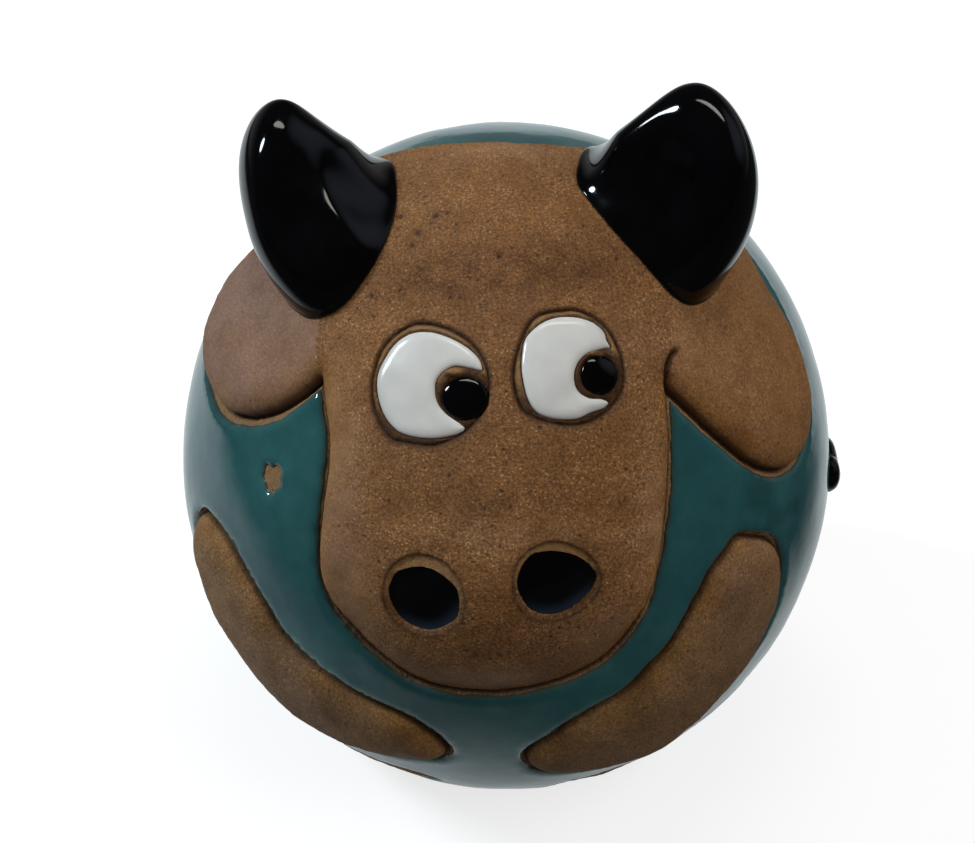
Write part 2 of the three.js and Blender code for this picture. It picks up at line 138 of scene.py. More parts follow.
def spaced(p, step, closed=True):
    ends = np.vstack([p, p[:1]]) if closed else p
    run = np.concatenate([[0], np.cumsum(np.linalg.norm(np.diff(ends, axis=0), axis=1))])
    count = max(int(round(run[-1] * ball["radius"] / step)), 3)
    at = np.linspace(0, run[-1], count + 1)
    if closed:
        at = at[:-1]
    return unit(np.stack([np.interp(at, run, ends[:, k]) for k in range(3)], 1))


# A smooth curve through places on the ball, as close points.
def curve(p, closed=True):
    q = np.vstack([p[-1:], p, p[:2]]) if closed else np.vstack([2 * p[0] - p[1], p, 2 * p[-1] - p[-2]])
    out = []
    for a, b, c, e in zip(q, q[1:], q[2:], q[3:]):
        t1, t2, t3 = np.cumsum([np.linalg.norm(y - x) ** 0.5 + 1e-9 for x, y in ((a, b), (b, c), (c, e))])
        t = np.linspace(t1, t2, 24, endpoint=False)[:, None]
        ab = a + (b - a) * t / t1
        bc = b + (c - b) * (t - t1) / (t2 - t1)
        ce = c + (e - c) * (t - t2) / (t3 - t2)
        abc = ab + (bc - ab) * t / t2
        bce = bc + (ce - bc) * (t - t1) / (t3 - t1)
        out.append(abc + (bce - abc) * (t - t1) / (t2 - t1))
    if not closed:
        out.append(p[-1:])
    return unit(np.vstack(out))


def makeTree(p):
    tree = kdtree.KDTree(len(p))
    for i, q in enumerate(p):
        tree.insert(q, i)
    tree.balance()
    return tree


# A closed loop that knows its own middle, its size and the way in.
def makeLoop(p):
    middle = unit(p.sum(0))
    if (np.cross(p, np.roll(p, -1, 0)) @ middle).sum() < 0:
        p = p[::-1].copy()
    inward = unit(np.cross(p, np.roll(p, -1, 0) - np.roll(p, 1, 0)))
    return {
        "p": p,
        "inward": inward,
        "middle": middle,
        "reach": float(angleTo(p, middle).max()),
        "tree": makeTree(p),
    }


# How far inside a loop points lie, in millimetres, and negative outside, where it is rough beyond near.
def inside(loop, d, near=6.0):
    result = (loop["reach"] - angleTo(d, loop["middle"])) * ball["radius"]
    close = np.flatnonzero(result > -near)
    found = [loop["tree"].find(q) for q in d[close]]
    index = np.array([f[1] for f in found], int)
    far = np.array([f[2] for f in found]) * ball["radius"]
    away = d[close] - loop["p"][index]
    result[close] = np.sign((away * loop["inward"][index]).sum(1)) * far
    return result


# A loop moved in by a distance, or out where it is negative, without the parts that would cross over.
def shifted(loop, by, step):
    by = np.broadcast_to(np.asarray(by, float), len(loop["p"]))
    p = unit(loop["p"] + loop["inward"] * (by / ball["radius"])[:, None])
    far = np.array([loop["tree"].find(q)[2] for q in p]) * ball["radius"]
    return spaced(p[far > np.abs(by) * 0.96 - 0.01], step)


# A region of the ball: loops, each with 1 where the region is inside it and -1 where it is outside.
def inset(rims, d):
    return np.min([side * inside(loop, d) for loop, side in rims], axis=0)


def scattered(spacing, middle, reach):
    count = int(4 * math.pi * ball["radius"] ** 2 / (spacing ** 2 * 0.866))
    i = np.arange(count) + 0.5
    z = 1 - 2 * i / count
    angle = math.pi * (1 + math.sqrt(5)) * i
    ring = np.sqrt(1 - z * z)
    d = np.stack([ring * np.cos(angle), ring * np.sin(angle), z], 1)
    return d[d @ middle > math.cos(min(reach, math.pi))]


# Triangles over flat points, of which the first make closed rims, with those rims' edges kept.
def triangulated(flat, rimCounts):
    edges = []
    start = 0
    for count in rimCounts:
        edges += [(start + i, start + (i + 1) % count) for i in range(count)]
        start += count
    made = delaunay_2d_cdt([Vector(p) for p in flat], edges, [], 0, 1e-9)
    origin = np.array([o[0] if o else -1 for o in made[3]])
    tris = origin[np.array([f for f in made[2] if len(f) == 3])]
    return tris[(tris >= 0).all(1)], start


# Adds the points of some batches that lie clear of the rims and apart from the points already there.
def thinned(points, batches, rims, clear, apart):
    if not batches:
        return points
    new = np.vstack(batches)
    if rims is not None and len(new):
        new = new[inset(rims, new) > clear]
    if not len(new):
        return points
    tree = makeTree(points)
    far = np.array([tree.find(q)[2] for q in new]) * ball["radius"]
    return np.vstack([points, new[far > apart]])


# Triangles over a region. Its rims come first, then rings along them, then points ever further apart.
# A grade is a spacing, with how far in from the rims it starts and ends.
def tiled(rims, rings, grades, pole, extra=()):
    points = np.vstack([loop["p"] for loop, _ in rims])
    for offset, step in rings:
        wide = [(loop, side) for loop, side in rims if loop["reach"] * ball["radius"] > offset]
        found = [shifted(loop, side * offset, step) for loop, side in wide]
        points = thinned(points, [p for p in found if len(p)], rims, 0.8 * offset, 0.55 * min(step, offset))
    for p, step in extra:
        points = thinned(points, [p], rims, 0.1, 0.5 * step)
    reach = max(loop["reach"] for loop, _ in rims) if all(s > 0 for _, s in rims) else math.pi
    for spacing, start, end in grades:
        d = scattered(spacing, pole, reach + 0.02)
        far = inset(rims, d)
        points = thinned(points, [d[(far > start) & (far <= end)]], None, 0, 0.62 * spacing)
    side = unit(np.cross(pole, [0.3, 0.9, 0.31]))
    other = np.cross(pole, side)
    flat = np.stack([points @ side, points @ other], 1) / (1 + points @ pole)[:, None]
    tris, rimCount = triangulated(flat, [len(loop["p"]) for loop, _ in rims])
    rimOnly = (tris < rimCount).all(1)
    kept = np.ones(len(tris), bool)
    kept[rimOnly] = inset(rims, unit(points[tris[rimOnly]].sum(1))) > 0
    tris = tris[kept]
    a, b, c = points[tris[:, 0]], points[tris[:, 1]], points[tris[:, 2]]
    flip = (np.cross(b - a, c - a) * a).sum(1) < 0
    tris[flip] = tris[flip][:, ::-1]
    return points, tris, rimCount


# Closes an upper and a lower skin, which share their triangles, into one shell.
def shell(top, low, tris):
    sides = np.vstack([tris[:, [0, 1]], tris[:, [1, 2]], tris[:, [2, 0]]])
    edges = dict.fromkeys(map(tuple, sides.tolist()))
    rim = [(a, b) for a, b in edges if (b, a) not in edges]
    n = len(top)
    walls = [(b, a, a + n) for a, b in rim] + [(b, a + n, b + n) for a, b in rim]
    return np.vstack([top, low]), np.vstack([tris, tris[:, ::-1] + n, np.array(walls)])


def makePiece(name, points, tris, material, nodes, slot, marks=None, sharp=50):
    used, index = np.unique(tris, return_inverse=True)
    mesh = bpy.data.meshes.new(name)
    mesh.from_pydata((points[used] * mm).tolist(), [], index.reshape(-1, 3).tolist())
    mesh.shade_smooth()
    mesh.set_sharp_from_angle(angle=math.radians(sharp))
    for mark, values in (marks or {}).items():
        layer = mesh.attributes.new(mark, "FLOAT", "POINT")
        layer.data.foreach_set("value", values[used].astype(np.float32))
    mesh.materials.append(material)
    piece = bpy.data.objects.new(name, mesh)
    bpy.context.scene.collection.objects.link(piece)
    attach(piece, "root")
    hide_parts(*nodes)
    print(f"cow: {name}, {len(tris)} triangles")


# A piece between two skins, with the same marks on both.
def makeShell(name, top, low, tris, material, nodes, slot, marks=None, sharp=50):
    marks = {mark: np.tile(values, 2) for mark, values in (marks or {}).items()}
    makePiece(name, *shell(top, low, tris), material, nodes, slot, marks, sharp)


# A relief's edge: nothing at the rim, and all of its height some way in, by a round shoulder.
def shoulder(far, wide, power=2.3):
    left = 1 - np.clip(far / wide, 0, 1)
    return (1 - left ** power) ** (1 / power)


def bump(x, wide):
    return np.exp(-(x / wide) ** 2)


def ramp(x, low, high):
    t = np.clip((x - low) / (high - low), 0, 1)
    return t * t * (3 - 2 * t)


# Outlines

fine = 0.22  # spacing along a rim that shows
underside = -0.3  # the underside of what is laid on the ball
face = {
    "leftEar": [
        (0.9, 37.2), (-8.0, 37.6), (-15.0, 37.4), (-21.0, 36.6), (-27.0, 33.4), (-32.5, 29.0), (-37.6, 24.2),
        (-41.0, 19.5), (-42.6, 14.6), (-41.4, 9.0), (-37.9, 4.2), (-32.6, 1.2), (-27.6, 1.2), (-23.6, 2.6),
        (-19.6, 4.8),
    ],
    "muzzle": [
        (-19.6, 4.8), (-18.8, 1.6), (-18.1, -2.6), (-18.4, -7.0), (-19.2, -12.0), (-19.5, -16.8),
        (-18.5, -21.0), (-16.2, -24.4), (-13.0, -27.5), (-8.6, -30.5), (-1.0, -31.7), (5.5, -31.0),
        (11.2, -29.0), (15.4, -26.1), (18.2, -21.6), (19.5, -16.4), (20.1, -10.5), (20.3, -4.0), (19.9, 1.0),
        (19.5, 5.4),
    ],
    "rightEar": [
        (19.5, 5.4), (22.6, 3.4), (27.0, 0.4), (31.4, -2.0), (36.2, -3.0), (40.6, -1.4), (43.6, 2.8),
        (44.2, 8.4), (42.2, 15.2), (39.0, 21.0), (35.0, 26.6), (31.0, 31.4), (26.5, 36.0), (20.6, 38.8),
        (14.5, 39.6), (9.0, 38.2), (0.9, 37.2),
    ],
    "leftCut": [(-19.6, 4.8), (-19.9, 14.0), (-20.4, 23.0), (-21.0, 36.6)],
    "rightCut": [(19.5, 5.4), (19.8, 14.0), (20.0, 24.0), (20.6, 38.8)],
    "hook": [(19.5, 5.4), (19.1, 6.9), (19.5, 8.2), (20.1, 8.9)],
}
frontLegs = {
    "left": [
        (-60.5, 4.6), (-56.0, 5.3), (-51.0, 4.2), (-46.0, 1.0), (-41.7, -2.8), (-37.6, -6.5), (-33.0, -9.5),
        (-28.2, -12.0), (-23.0, -14.0), (-17.7, -15.6), (-13.0, -17.6), (-9.3, -21.2), (-7.4, -25.3),
        (-9.3, -28.0), (-15.0, -29.6), (-22.0, -31.1), (-30.0, -32.2), (-38.0, -31.0), (-47.0, -27.0),
        (-55.0, -20.8), (-61.2, -13.0), (-64.6, -5.0), (-63.8, 1.6),
    ],
    "right": [
        (50.0, 9.4), (45.6, 11.0), (42.4, 9.3), (39.9, 7.7), (37.2, 4.2), (34.2, 0.0), (31.0, -4.3),
        (27.6, -7.4), (24.3, -10.9), (20.6, -13.2), (16.4, -15.8), (11.8, -20.1), (8.3, -23.6), (7.6, -28.0),
        (10.4, -31.4), (14.7, -33.4), (19.0, -34.2), (26.0, -34.4), (33.0, -33.8), (38.6, -31.4),
        (42.8, -27.6), (46.4, -23.4), (50.0, -18.8), (53.6, -13.8), (56.6, -7.0), (57.0, 0.8), (54.4, 6.4),
    ],
    "thick": 1.9,
    "round": 4.8,
    "spacing": 0.45,
}
hindLegs = {
    "left": [(-92.0, -24.0), (-78.0, -31.5), (-63.0, -38.5), (-47.0, -44.0), (-32.0, -46.0), (-19.0, -44.0)],
    "right": [(92.0, -25.0), (78.0, -33.0), (63.0, -40.5), (47.0, -46.0), (33.0, -48.5), (22.0, -48.0)],
    "half": [4.4, 6.4, 6.0, 5.2, 4.0, 2.6],
    "thick": 0.35,
    "round": 4.8,
    "spacing": 0.6,
}
tail = {
    "path": [(180.0, 30.0), (176.0, 12.0), (165.0, -5.0), (147.0, -15.0), (129.0, -15.0), (115.0, -10.0)],
    "half": [1.8, 2.5, 2.3, 2.2, 2.2, 1.8],
    "thick": 1.9,
    "round": 2.2,
    "spacing": 0.5,
}
tuft = {
    "path": [(111.5, -9.2), (105.0, -6.6), (98.0, -4.1), (92.0, -2.7)],
    "half": [1.8, 3.1, 3.4, 2.6],
    "thick": 1.2,
    "round": 2.6,
    "spacing": 0.45,
    "glaze": 0.85,
}


# The outline of a strip laid along a path, with half-widths at its stations and round ends.
def stripOutline(path, half):
    along = curve(onBody(path), closed=False)
    station = np.linspace(0, len(path) - 1, len(along))
    k = np.minimum(station.astype(int), len(path) - 2)
    share = station - k
    share = share * share * (3 - 2 * share)
    wide = (np.array(half)[k] * (1 - share) + np.array(half)[k + 1] * share) / ball["radius"]
    ahead = unit(np.gradient(along, axis=0))
    side = unit(np.cross(ahead, along))
    ends = []
    for at, sign in ((0, -1), (-1, 1)):
        angle = np.linspace(0, math.pi, 16)[1:-1, None]
        turn = np.cos(angle) * side[at] + sign * np.sin(angle) * ahead[at]
        ends.append(unit(along[at] + turn * wide[at]))
    right = unit(along + side * wide[:, None])
    left = unit(along - side * wide[:, None])
    return np.vstack([right, ends[1], left[::-1], ends[0][::-1]])


# A loop with the slight unevenness of a hand-cut edge.
def wobbled(p, seed, much=0.07, little=0.02):
    loop = makeLoop(p)
    push = (lumps(loop["p"], 5.0, seed) * much + lumps(loop["p"], 1.1, seed + 1) * little) / ball["radius"]
    return makeLoop(unit(loop["p"] + loop["inward"] * push[:, None]))


def stretches(*names):
    return np.vstack([curve(onFace(face[name]), closed=False)[:-1] for name in names])


faceLoop = wobbled(spaced(stretches("leftEar", "muzzle", "rightEar"), fine), 3, 0.05)
legOutlines = {
    "left_front_leg": curve(onBody(frontLegs["left"])),
    "right_front_leg": curve(onBody(frontLegs["right"])),
    "left_hind_leg": stripOutline(hindLegs["left"], hindLegs["half"]),
    "right_hind_leg": stripOutline(hindLegs["right"], hindLegs["half"]),
}
legLoops = {node: wobbled(spaced(p, fine), 5 + 2 * k) for k, (node, p) in enumerate(legOutlines.items())}
tailLoop = wobbled(spaced(stripOutline(tail["path"], tail["half"]), fine), 13)
tuftLoop = wobbled(spaced(stripOutline(tuft["path"], tuft["half"]), fine), 15)
rumpOutline = stripOutline(tail["path"] + tuft["path"][1:], tail["half"] + tuft["half"][1:])
rumpLoop = makeLoop(spaced(rumpOutline, fine))
print("cow: the outlines are laid out")

# Clay skins

grooveWide = 0.45
rimLoops = [faceLoop, *legLoops.values(), rumpLoop]


# How far outside every relief a point of the ball lies.
def outside(d):
    return np.min([-inside(loop, d) for loop in rimLoops], axis=0)


def ballHeight(d):
    rise = np.degrees(np.arcsin(np.clip(d[:, 2], -1, 1)))
    skin = ball["skin"] * ramp(rise, -62, -57)
    x = outside(d)
    floor = 0.08 + 0.05 * lumps(d, 0.9, 31) * (x > 0)
    rough = 0.03 * lumps(d, 0.8, 32) + 0.03 * lumps(d, 2.5, 33)
    rising = floor + (skin - floor) * ramp(x, grooveWide * 0.65, grooveWide + 0.2)
    return np.where(x < 4, rising, skin) + rough


head = {
    "thick": 2.7,
    "rim": 0.3,
    "round": 3.1,
    "chin": 6.5,
    "earThick": 2.7,
    "earRound": 4.2,
    "swells": [  # across, up, half width, half height, rise
        (0.9, -17.0, 15.0, 9.5, 2.4), (0.9, 24.0, 14.0, 10.0, 0.9), (-5.9, 4.0, 6.5, 6.0, 0.7),
        (7.9, 6.0, 6.5, 6.0, 0.7), (-6.0, 13.5, 7.0, 3.0, -0.25), (8.0, 14.5, 6.0, 3.0, -0.25),
        (-25.5, 9.5, 4.0, 7.0, -0.35), (24.5, 11.0, 3.2, 8.0, -0.5), (33.0, 9.0, 4.0, 9.0, 0.5),
        (-34.0, 13.0, 5.0, 6.0, 0.45), (-40.0, 14.5, 4.0, 6.5, 0.35), (-37.5, 20.5, 5.0, 7.0, 0.35),
        (37.0, 22.0, 5.0, 7.0, -0.8),
    ],
    "ridge": [(-8.6, -11.9), (-4.4, -10.8), (-0.4, -9.7), (3.6, -9.7), (7.6, -10.2), (11.9, -11.4)],
    "tonesAndShading": [  # across, up, half width, half height, and how much lighter the clay is painted there, darker below 0: some rows are the clay's own patches, others painted shade in the brow creases, between the eyes, on the forehead and over the muzzle, and painted light on the cheeks, by the left ear and along the muzzle's ridge
        (-6.5, 14.6, 8.0, 3.2, -0.34), (9.0, 17.0, 8.5, 3.4, -0.3), (1.5, 9.0, 3.5, 6.0, -0.14),
        (0.5, 27.0, 12.0, 7.0, -0.06), (-16.5, -2.0, 4.5, 9.0, 0.12), (2.0, -8.4, 12.0, 2.0, -0.24),
        (17.0, 2.0, 4.0, 10.0, 0.12), (-30.0, 12.0, 7.0, 8.0, 0.08), (1.0, -4.0, 9.0, 4.0, -0.05),
        (17.5, -14.0, 4.0, 8.0, 0.36), (2.0, -11.8, 11.0, 1.8, 0.05), (0.0, -28.5, 13.0, 2.6, 0.22),
    ],
    "pale": [  # across, up, half width, half height, and how smooth the clay is there, where a pale bluish sheen is also painted on it
        (-17.0, -4.0, 3.6, 10.0, 1.0), (-15.5, -19.0, 4.5, 6.0, 1.0), (-2.0, -28.0, 13.0, 3.2, 0.8),
        (14.0, -23.0, 5.0, 4.0, 0.6), (18.6, -8.0, 1.8, 9.0, 0.6), (0.0, 34.0, 14.0, 2.5, 0.5),
        (3.0, -11.0, 10.0, 1.3, 0.35),
    ],
    "pits": [  # across, up, half width, depth
        (-11.5, 23.2, 0.45, 0.4), (-9.0, 20.6, 0.4, 0.35), (-7.2, 22.7, 0.5, 0.3), (-11.4, 21.4, 0.3, 0.25),
        (-5.9, 22.9, 0.3, 0.25), (-9.5, 19.0, 0.3, 0.25), (0.3, 17.4, 0.35, 0.35), (-13.5, 13.2, 0.3, 0.2),
    ],
    "ridgeUp": (0.28, 1.4),  # how high or deep each line and floor is, with its width where it is a line
    "hookDown": (0.8, 0.28),
    "ringDown": (0.4, 0.2),
    "eyeStep": 0.12,
    "eyeFloor": 0.4,
    "bareUp": 0.45,
    "nostrilStep": 0.35,
    "nostrilFloor": 1.2,
}
eyes = {
    "left": {
        "white": [
            (-1.9, 5.1), (-3.0, 5.3), (-3.9, 5.3), (-4.9, 4.7), (-5.5, 3.9), (-5.6, 2.8), (-5.3, 1.6),
            (-4.6, 0.7), (-3.6, 0.0), (-2.8, -0.5), (-2.4, -0.9), (-3.0, -1.4), (-4.4, -1.8), (-6.0, -2.0),
            (-8.0, -1.8), (-9.4, -1.3), (-10.7, -0.1), (-11.5, 1.4), (-11.9, 3.0), (-11.9, 4.6),
            (-11.2, 6.3), (-10.1, 7.9), (-8.5, 8.8), (-6.6, 8.9), (-5.0, 8.5), (-3.4, 7.8), (-2.0, 6.9),
            (-1.1, 5.9), (-0.9, 5.0),
        ],
        "ring": [
            (-7.1, 9.8), (-3.9, 8.9), (-1.4, 7.0), (-0.1, 4.2), (-0.5, 1.2), (-2.0, -0.9), (-4.3, -2.3),
            (-6.0, -2.7), (-8.1, -2.5), (-10.0, -2.1), (-12.0, 0.7), (-12.4, 4.4), (-11.3, 7.7), (-8.8, 9.6),
        ],
        "pupil": (-2.5, 2.1, 2.4, 2.15),
        "bare": (-3.6, 4.65, 1.0, 0.4),
    },
    "right": {
        "white": [
            (7.4, 11.1), (6.2, 10.8), (4.8, 10.0), (3.5, 8.5), (3.2, 6.8), (3.2, 5.2), (3.5, 3.7),
            (4.0, 2.2), (4.9, 1.0), (6.1, 0.5), (7.7, 0.4), (9.2, 0.6), (10.6, 1.3), (12.0, 1.9),
            (12.4, 2.4), (11.7, 2.7), (10.4, 2.7), (9.4, 3.1), (8.8, 3.8), (8.6, 4.9), (8.9, 6.1),
            (9.7, 7.1), (10.9, 7.7), (11.9, 8.1), (12.4, 8.2), (12.0, 9.0), (11.8, 9.7), (10.8, 10.6),
            (9.2, 11.1),
        ],
        "ring": [
            (7.3, 11.8), (4.4, 10.8), (2.9, 7.8), (2.4, 4.2), (3.6, 1.1), (6.5, 0.0), (9.7, 0.1),
            (12.2, 1.6), (13.8, 4.1), (13.7, 7.0), (12.0, 10.3), (9.0, 11.9),
        ],
        "pupil": (11.3, 5.2, 2.0, 2.05),
        "bare": (10.8, 7.3, 0.9, 0.3),
    },
}
nostrils = {
    "left": {
        "black": [
            (-10.1, -17.6), (-9.8, -16.5), (-9.1, -15.5), (-8.0, -15.0), (-6.5, -14.7), (-5.1, -14.9),
            (-3.8, -15.6), (-2.8, -16.5), (-2.4, -17.8), (-2.5, -19.2), (-3.3, -20.3), (-4.7, -21.2),
            (-6.5, -21.4), (-8.3, -20.8), (-9.6, -19.3),
        ],
        "ring": [
            (-10.6, -18.3), (-10.4, -16.5), (-9.8, -15.1), (-8.9, -14.2), (-7.8, -13.6), (-6.1, -13.3),
            (-4.0, -13.9), (-2.6, -15.3), (-1.9, -17.0), (-1.9, -18.9), (-2.8, -20.5), (-4.3, -21.6),
            (-6.3, -21.9), (-8.2, -21.5), (-9.8, -20.2),
        ],
    },
    "right": {
        "black": [
            (4.0, -13.9), (4.7, -13.1), (6.0, -12.7), (7.8, -12.7), (9.4, -13.1), (10.9, -14.0),
            (11.8, -15.1), (11.4, -16.4), (10.1, -17.8), (8.4, -18.8), (6.8, -19.0), (5.1, -18.5),
            (4.0, -17.2), (3.5, -15.6),
        ],
        "ring": [
            (3.1, -15.9), (3.3, -14.0), (4.3, -12.7), (5.7, -11.9), (7.2, -11.6), (8.9, -11.9),
            (11.1, -13.2), (12.3, -15.3), (11.7, -17.1), (10.3, -18.5), (8.4, -19.4), (6.7, -19.6),
            (5.0, -19.1), (3.7, -17.8),
        ],
    },
}


def faceOval(oval):
    angle = np.linspace(0, math.tau, 48, endpoint=False)
    across, up, wide, tall = oval
    return onFace(np.stack([across + wide * np.cos(angle), up + tall * np.sin(angle)], 1))


def faceOutline(places, step):
    return makeLoop(spaced(curve(onFace(places)), step))


for eye in eyes.values():
    eye["whiteLoop"] = faceOutline(eye["white"], 0.16)
    eye["ringLoop"] = faceOutline(eye["ring"], 0.2)
    eye["pupilLoop"] = makeLoop(spaced(faceOval(eye["pupil"]), 0.16))
for nostril in nostrils.values():
    nostril["blackLoop"] = faceOutline(nostril["black"], 0.18)
    nostril["ringLoop"] = faceOutline(nostril["ring"], 0.2)


def pathAway(d, path):
    tree = makeTree(spaced(curve(onFace(path), closed=False), 0.15, closed=False))
    return np.array([tree.find(q)[2] for q in d]) * ball["radius"]


# Soft round hills on the face, added to a start.
def hills(across, up, rows, start=0):
    return sum((much * np.exp(-(((across - x) / wide) ** 2) - ((up - y) / tall) ** 2)
                for x, y, wide, tall, much in rows), start)


# The modelled head and ears, before the eyes and nostrils are scored in. It slopes off slowly to the chin.
def headSmooth(d):
    across, up = toFace(d)
    far = inside(faceLoop, d, near=9.0)
    ear = ramp(np.abs(across - 0.3), 17.0, 25.0)
    full = hills(across, up, head["swells"], head["thick"] * (1 - ear) + head["earThick"] * ear)
    full = full + 0.12 * lumps(d, 14, 21) + 0.035 * lumps(d, 4, 22)
    wide = head["round"] * (1 - ear) + head["earRound"] * ear
    under = ramp(-up, 16.0, 25.0) * (1 - ear)
    rim = head["rim"] * (1 - 0.6 * under)
    slack = 1 - (1 - np.clip(far / head["chin"], 0, 1)) ** 1.7
    return rim + (full - rim) * (shoulder(far, wide) * (1 - under) + slack * under)


# The scored head's height, with how much of each point is darkened as a scored line, partly dark clay and
# partly painted shade in its hollows, and how much is a bare ledge, painted lighter above the nostrils.
def headField(d):
    across, up = toFace(d)
    ledge = np.zeros(len(d))
    high, wide = head["ridgeUp"]
    height = headSmooth(d) + high * bump(pathAway(d, head["ridge"]), wide) * (1 - 0.5 * bump(across - 1.6, 3))
    hook = pathAway(d, face["hook"])
    deep, wide = head["hookDown"]
    height = height - deep * bump(hook, wide)
    groove = bump(hook, 0.35)
    for x, y, wide, deep in head["pits"]:
        pit = bump(np.hypot(across - x, up - y), wide)
        height = height - deep * pit
        groove = np.maximum(groove, 0.8 * pit)
    deep, wide = head["ringDown"]
    for eye in eyes.values():
        line = inside(eye["ringLoop"], d)
        white = np.maximum(inside(eye["whiteLoop"], d), inside(eye["pupilLoop"], d))
        height = height - deep * bump(line, wide) - head["eyeStep"] * ramp(line, -0.1, 0.3)
        height = height - head["eyeFloor"] * ramp(white, -0.28, 0.02)
        # Below the eye the ring's scored line is widened and the socket darkened, as painted shadow in the
        # recess; round the pupil the socket is darkened too.
        below = ramp(eye["ring"][0][1] - 7.0 - up, 0.0, 3.5)
        groove = np.maximum(groove, bump(line, 0.28 + 0.16 * below))
        socket = ramp(line, 0.1, 0.26) * (1 - ramp(white, -0.16, -0.02))
        dark = np.maximum(below, ramp(inside(eye["pupilLoop"], d), -1.2, -0.6))
        ledge = np.maximum(ledge, socket * (1 - dark))
        groove = np.maximum(groove, 0.9 * socket * dark)
        x, y, halfWide, halfTall = eye["bare"]
        bare = np.exp(-(((across - x) / halfWide) ** 2 + ((up - y) / halfTall) ** 2) ** 2)
        groove = np.maximum(groove, 0.9 * ramp(white, -0.2, -0.05)) * (1 - bare)
        ledge = np.maximum(ledge, bare)
        height = height + head["bareUp"] * bare
    for nostril in nostrils.values():
        line = inside(nostril["ringLoop"], d)
        black = inside(nostril["blackLoop"], d)
        height = height - head["nostrilStep"] * ramp(line, -0.15, 0.4)
        height = height - head["nostrilFloor"] * ramp(black, -0.12, 0.3)
        # Round the nostril the bare ledge above is painted lighter, as painted light, and below it the ledge
        # and the scored line are darkened, as painted shade.
        above = ramp(up - np.array(nostril["black"]).mean(0)[1], -1.5, 1.5)
        shelf = ramp(line, 0.0, 0.25) * (1 - ramp(black, -0.16, 0.0))
        groove = np.maximum(groove, (0.95 - 0.35 * above) * bump(line + 0.02, 0.2))
        groove = np.maximum(groove, 0.55 * shelf * (1 - above))
        ledge = np.maximum(ledge, shelf * above)
    groove = np.maximum(groove, 0.7 * (1 - ramp(inside(faceLoop, d), 0.0, 0.35)))
    return height, groove, ledge


# A leg's or the tail's height over the ball, from a low step at its rim.
def limbHeight(loop, shape, d, step=0.3, power=1.85):
    full = shape["thick"] + 0.1 * lumps(d, 9, 41) + 0.03 * lumps(d, 3, 42)
    return step + (full + 0.3) * shoulder(inside(loop, d), shape["round"], power)


# Materials

# Adds a node, with settings on it and values or links on its inputs, and gives it back.
def addNode(tree, kind, inputs=None, **settings):
    node = tree.nodes.new(kind)
    for key, value in settings.items():
        setattr(node, key, value)
    for key, value in (inputs or {}).items():
        socket = node.inputs[key]
        if isinstance(value, bpy.types.NodeSocket):
            tree.links.new(value, socket)
        else:
            socket.default_value = value
    return node


def startMaterial(name):
    material = bpy.data.materials.new(name)
    material.use_nodes = True
    tree = material.node_tree
    tree.nodes.clear()
    return material, tree


def rampNode(tree, value, stops):
    node = addNode(tree, "ShaderNodeValToRGB", {"Fac": value})
    elements = node.color_ramp.elements
    while len(elements) < len(stops):
        elements.new(0.5)
    for element, (at, colour) in zip(elements, stops):
        element.position = at
        element.color = (*colour, 1) if len(colour) == 3 else (colour[0],) * 3 + (1,)
    return node.outputs["Color"]


def objectPlace(tree):
    return addNode(tree, "ShaderNodeTexCoord").outputs["Object"]


def noise(tree, where, scale, detail, rough):
    inputs = {"Vector": where, "Scale": scale, "Detail": detail, "Roughness": rough}
    return addNode(tree, "ShaderNodeTexNoise", inputs).outputs["Fac"]


def mixColour(tree, share, a, b, blend="MIX"):
    node = addNode(tree, "ShaderNodeMix", data_type="RGBA", blend_type=blend)
    for socket, value in ((node.inputs[0], share), (node.inputs[6], a), (node.inputs[7], b)):
        if isinstance(value, bpy.types.NodeSocket):
            tree.links.new(value, socket)
        else:
            socket.default_value = (*value, 1) if isinstance(value, tuple) and len(value) == 3 else value
    return node.outputs[2]


def tinted(tree, colour, tint):
    return mixColour(tree, 1.0, colour, tint, "MULTIPLY")


def mathNode(tree, operation, a, b=0.0):
    return addNode(tree, "ShaderNodeMath", {0: a, 1: b}, operation=operation).outputs[0]


def times(tree, a, b):
    return mathNode(tree, "MULTIPLY", a, b)


def plus(tree, a, b):
    return mathNode(tree, "ADD", a, b)


def minus(tree, a, b):
    return mathNode(tree, "SUBTRACT", a, b)


def smoothNode(tree, value, low, high, start=0.0, end=1.0):
    return addNode(tree, "ShaderNodeMapRange", {
        "Value": value, "From Min": low, "From Max": high, "To Min": start, "To Max": end},
        interpolation_type="SMOOTHSTEP").outputs[0]


def markNode(tree, mark):
    return addNode(tree, "ShaderNodeAttribute", attribute_name=mark).outputs["Fac"]


# Gives a material its surface, bumped by a height over a distance in metres.
def finishMaterial(material, colour, roughness, distance, height, shine):
    tree = material.node_tree
    relief = addNode(tree, "ShaderNodeBump", {"Strength": 1.0, "Distance": distance, "Height": height})
    shader = addNode(tree, "ShaderNodeBsdfPrincipled", {
        "Base Color": colour, "Roughness": roughness, "Normal": relief.outputs["Normal"],
        "Specular IOR Level": shine})
    addNode(tree, "ShaderNodeOutputMaterial", {"Surface": shader.outputs["BSDF"]})
    return material


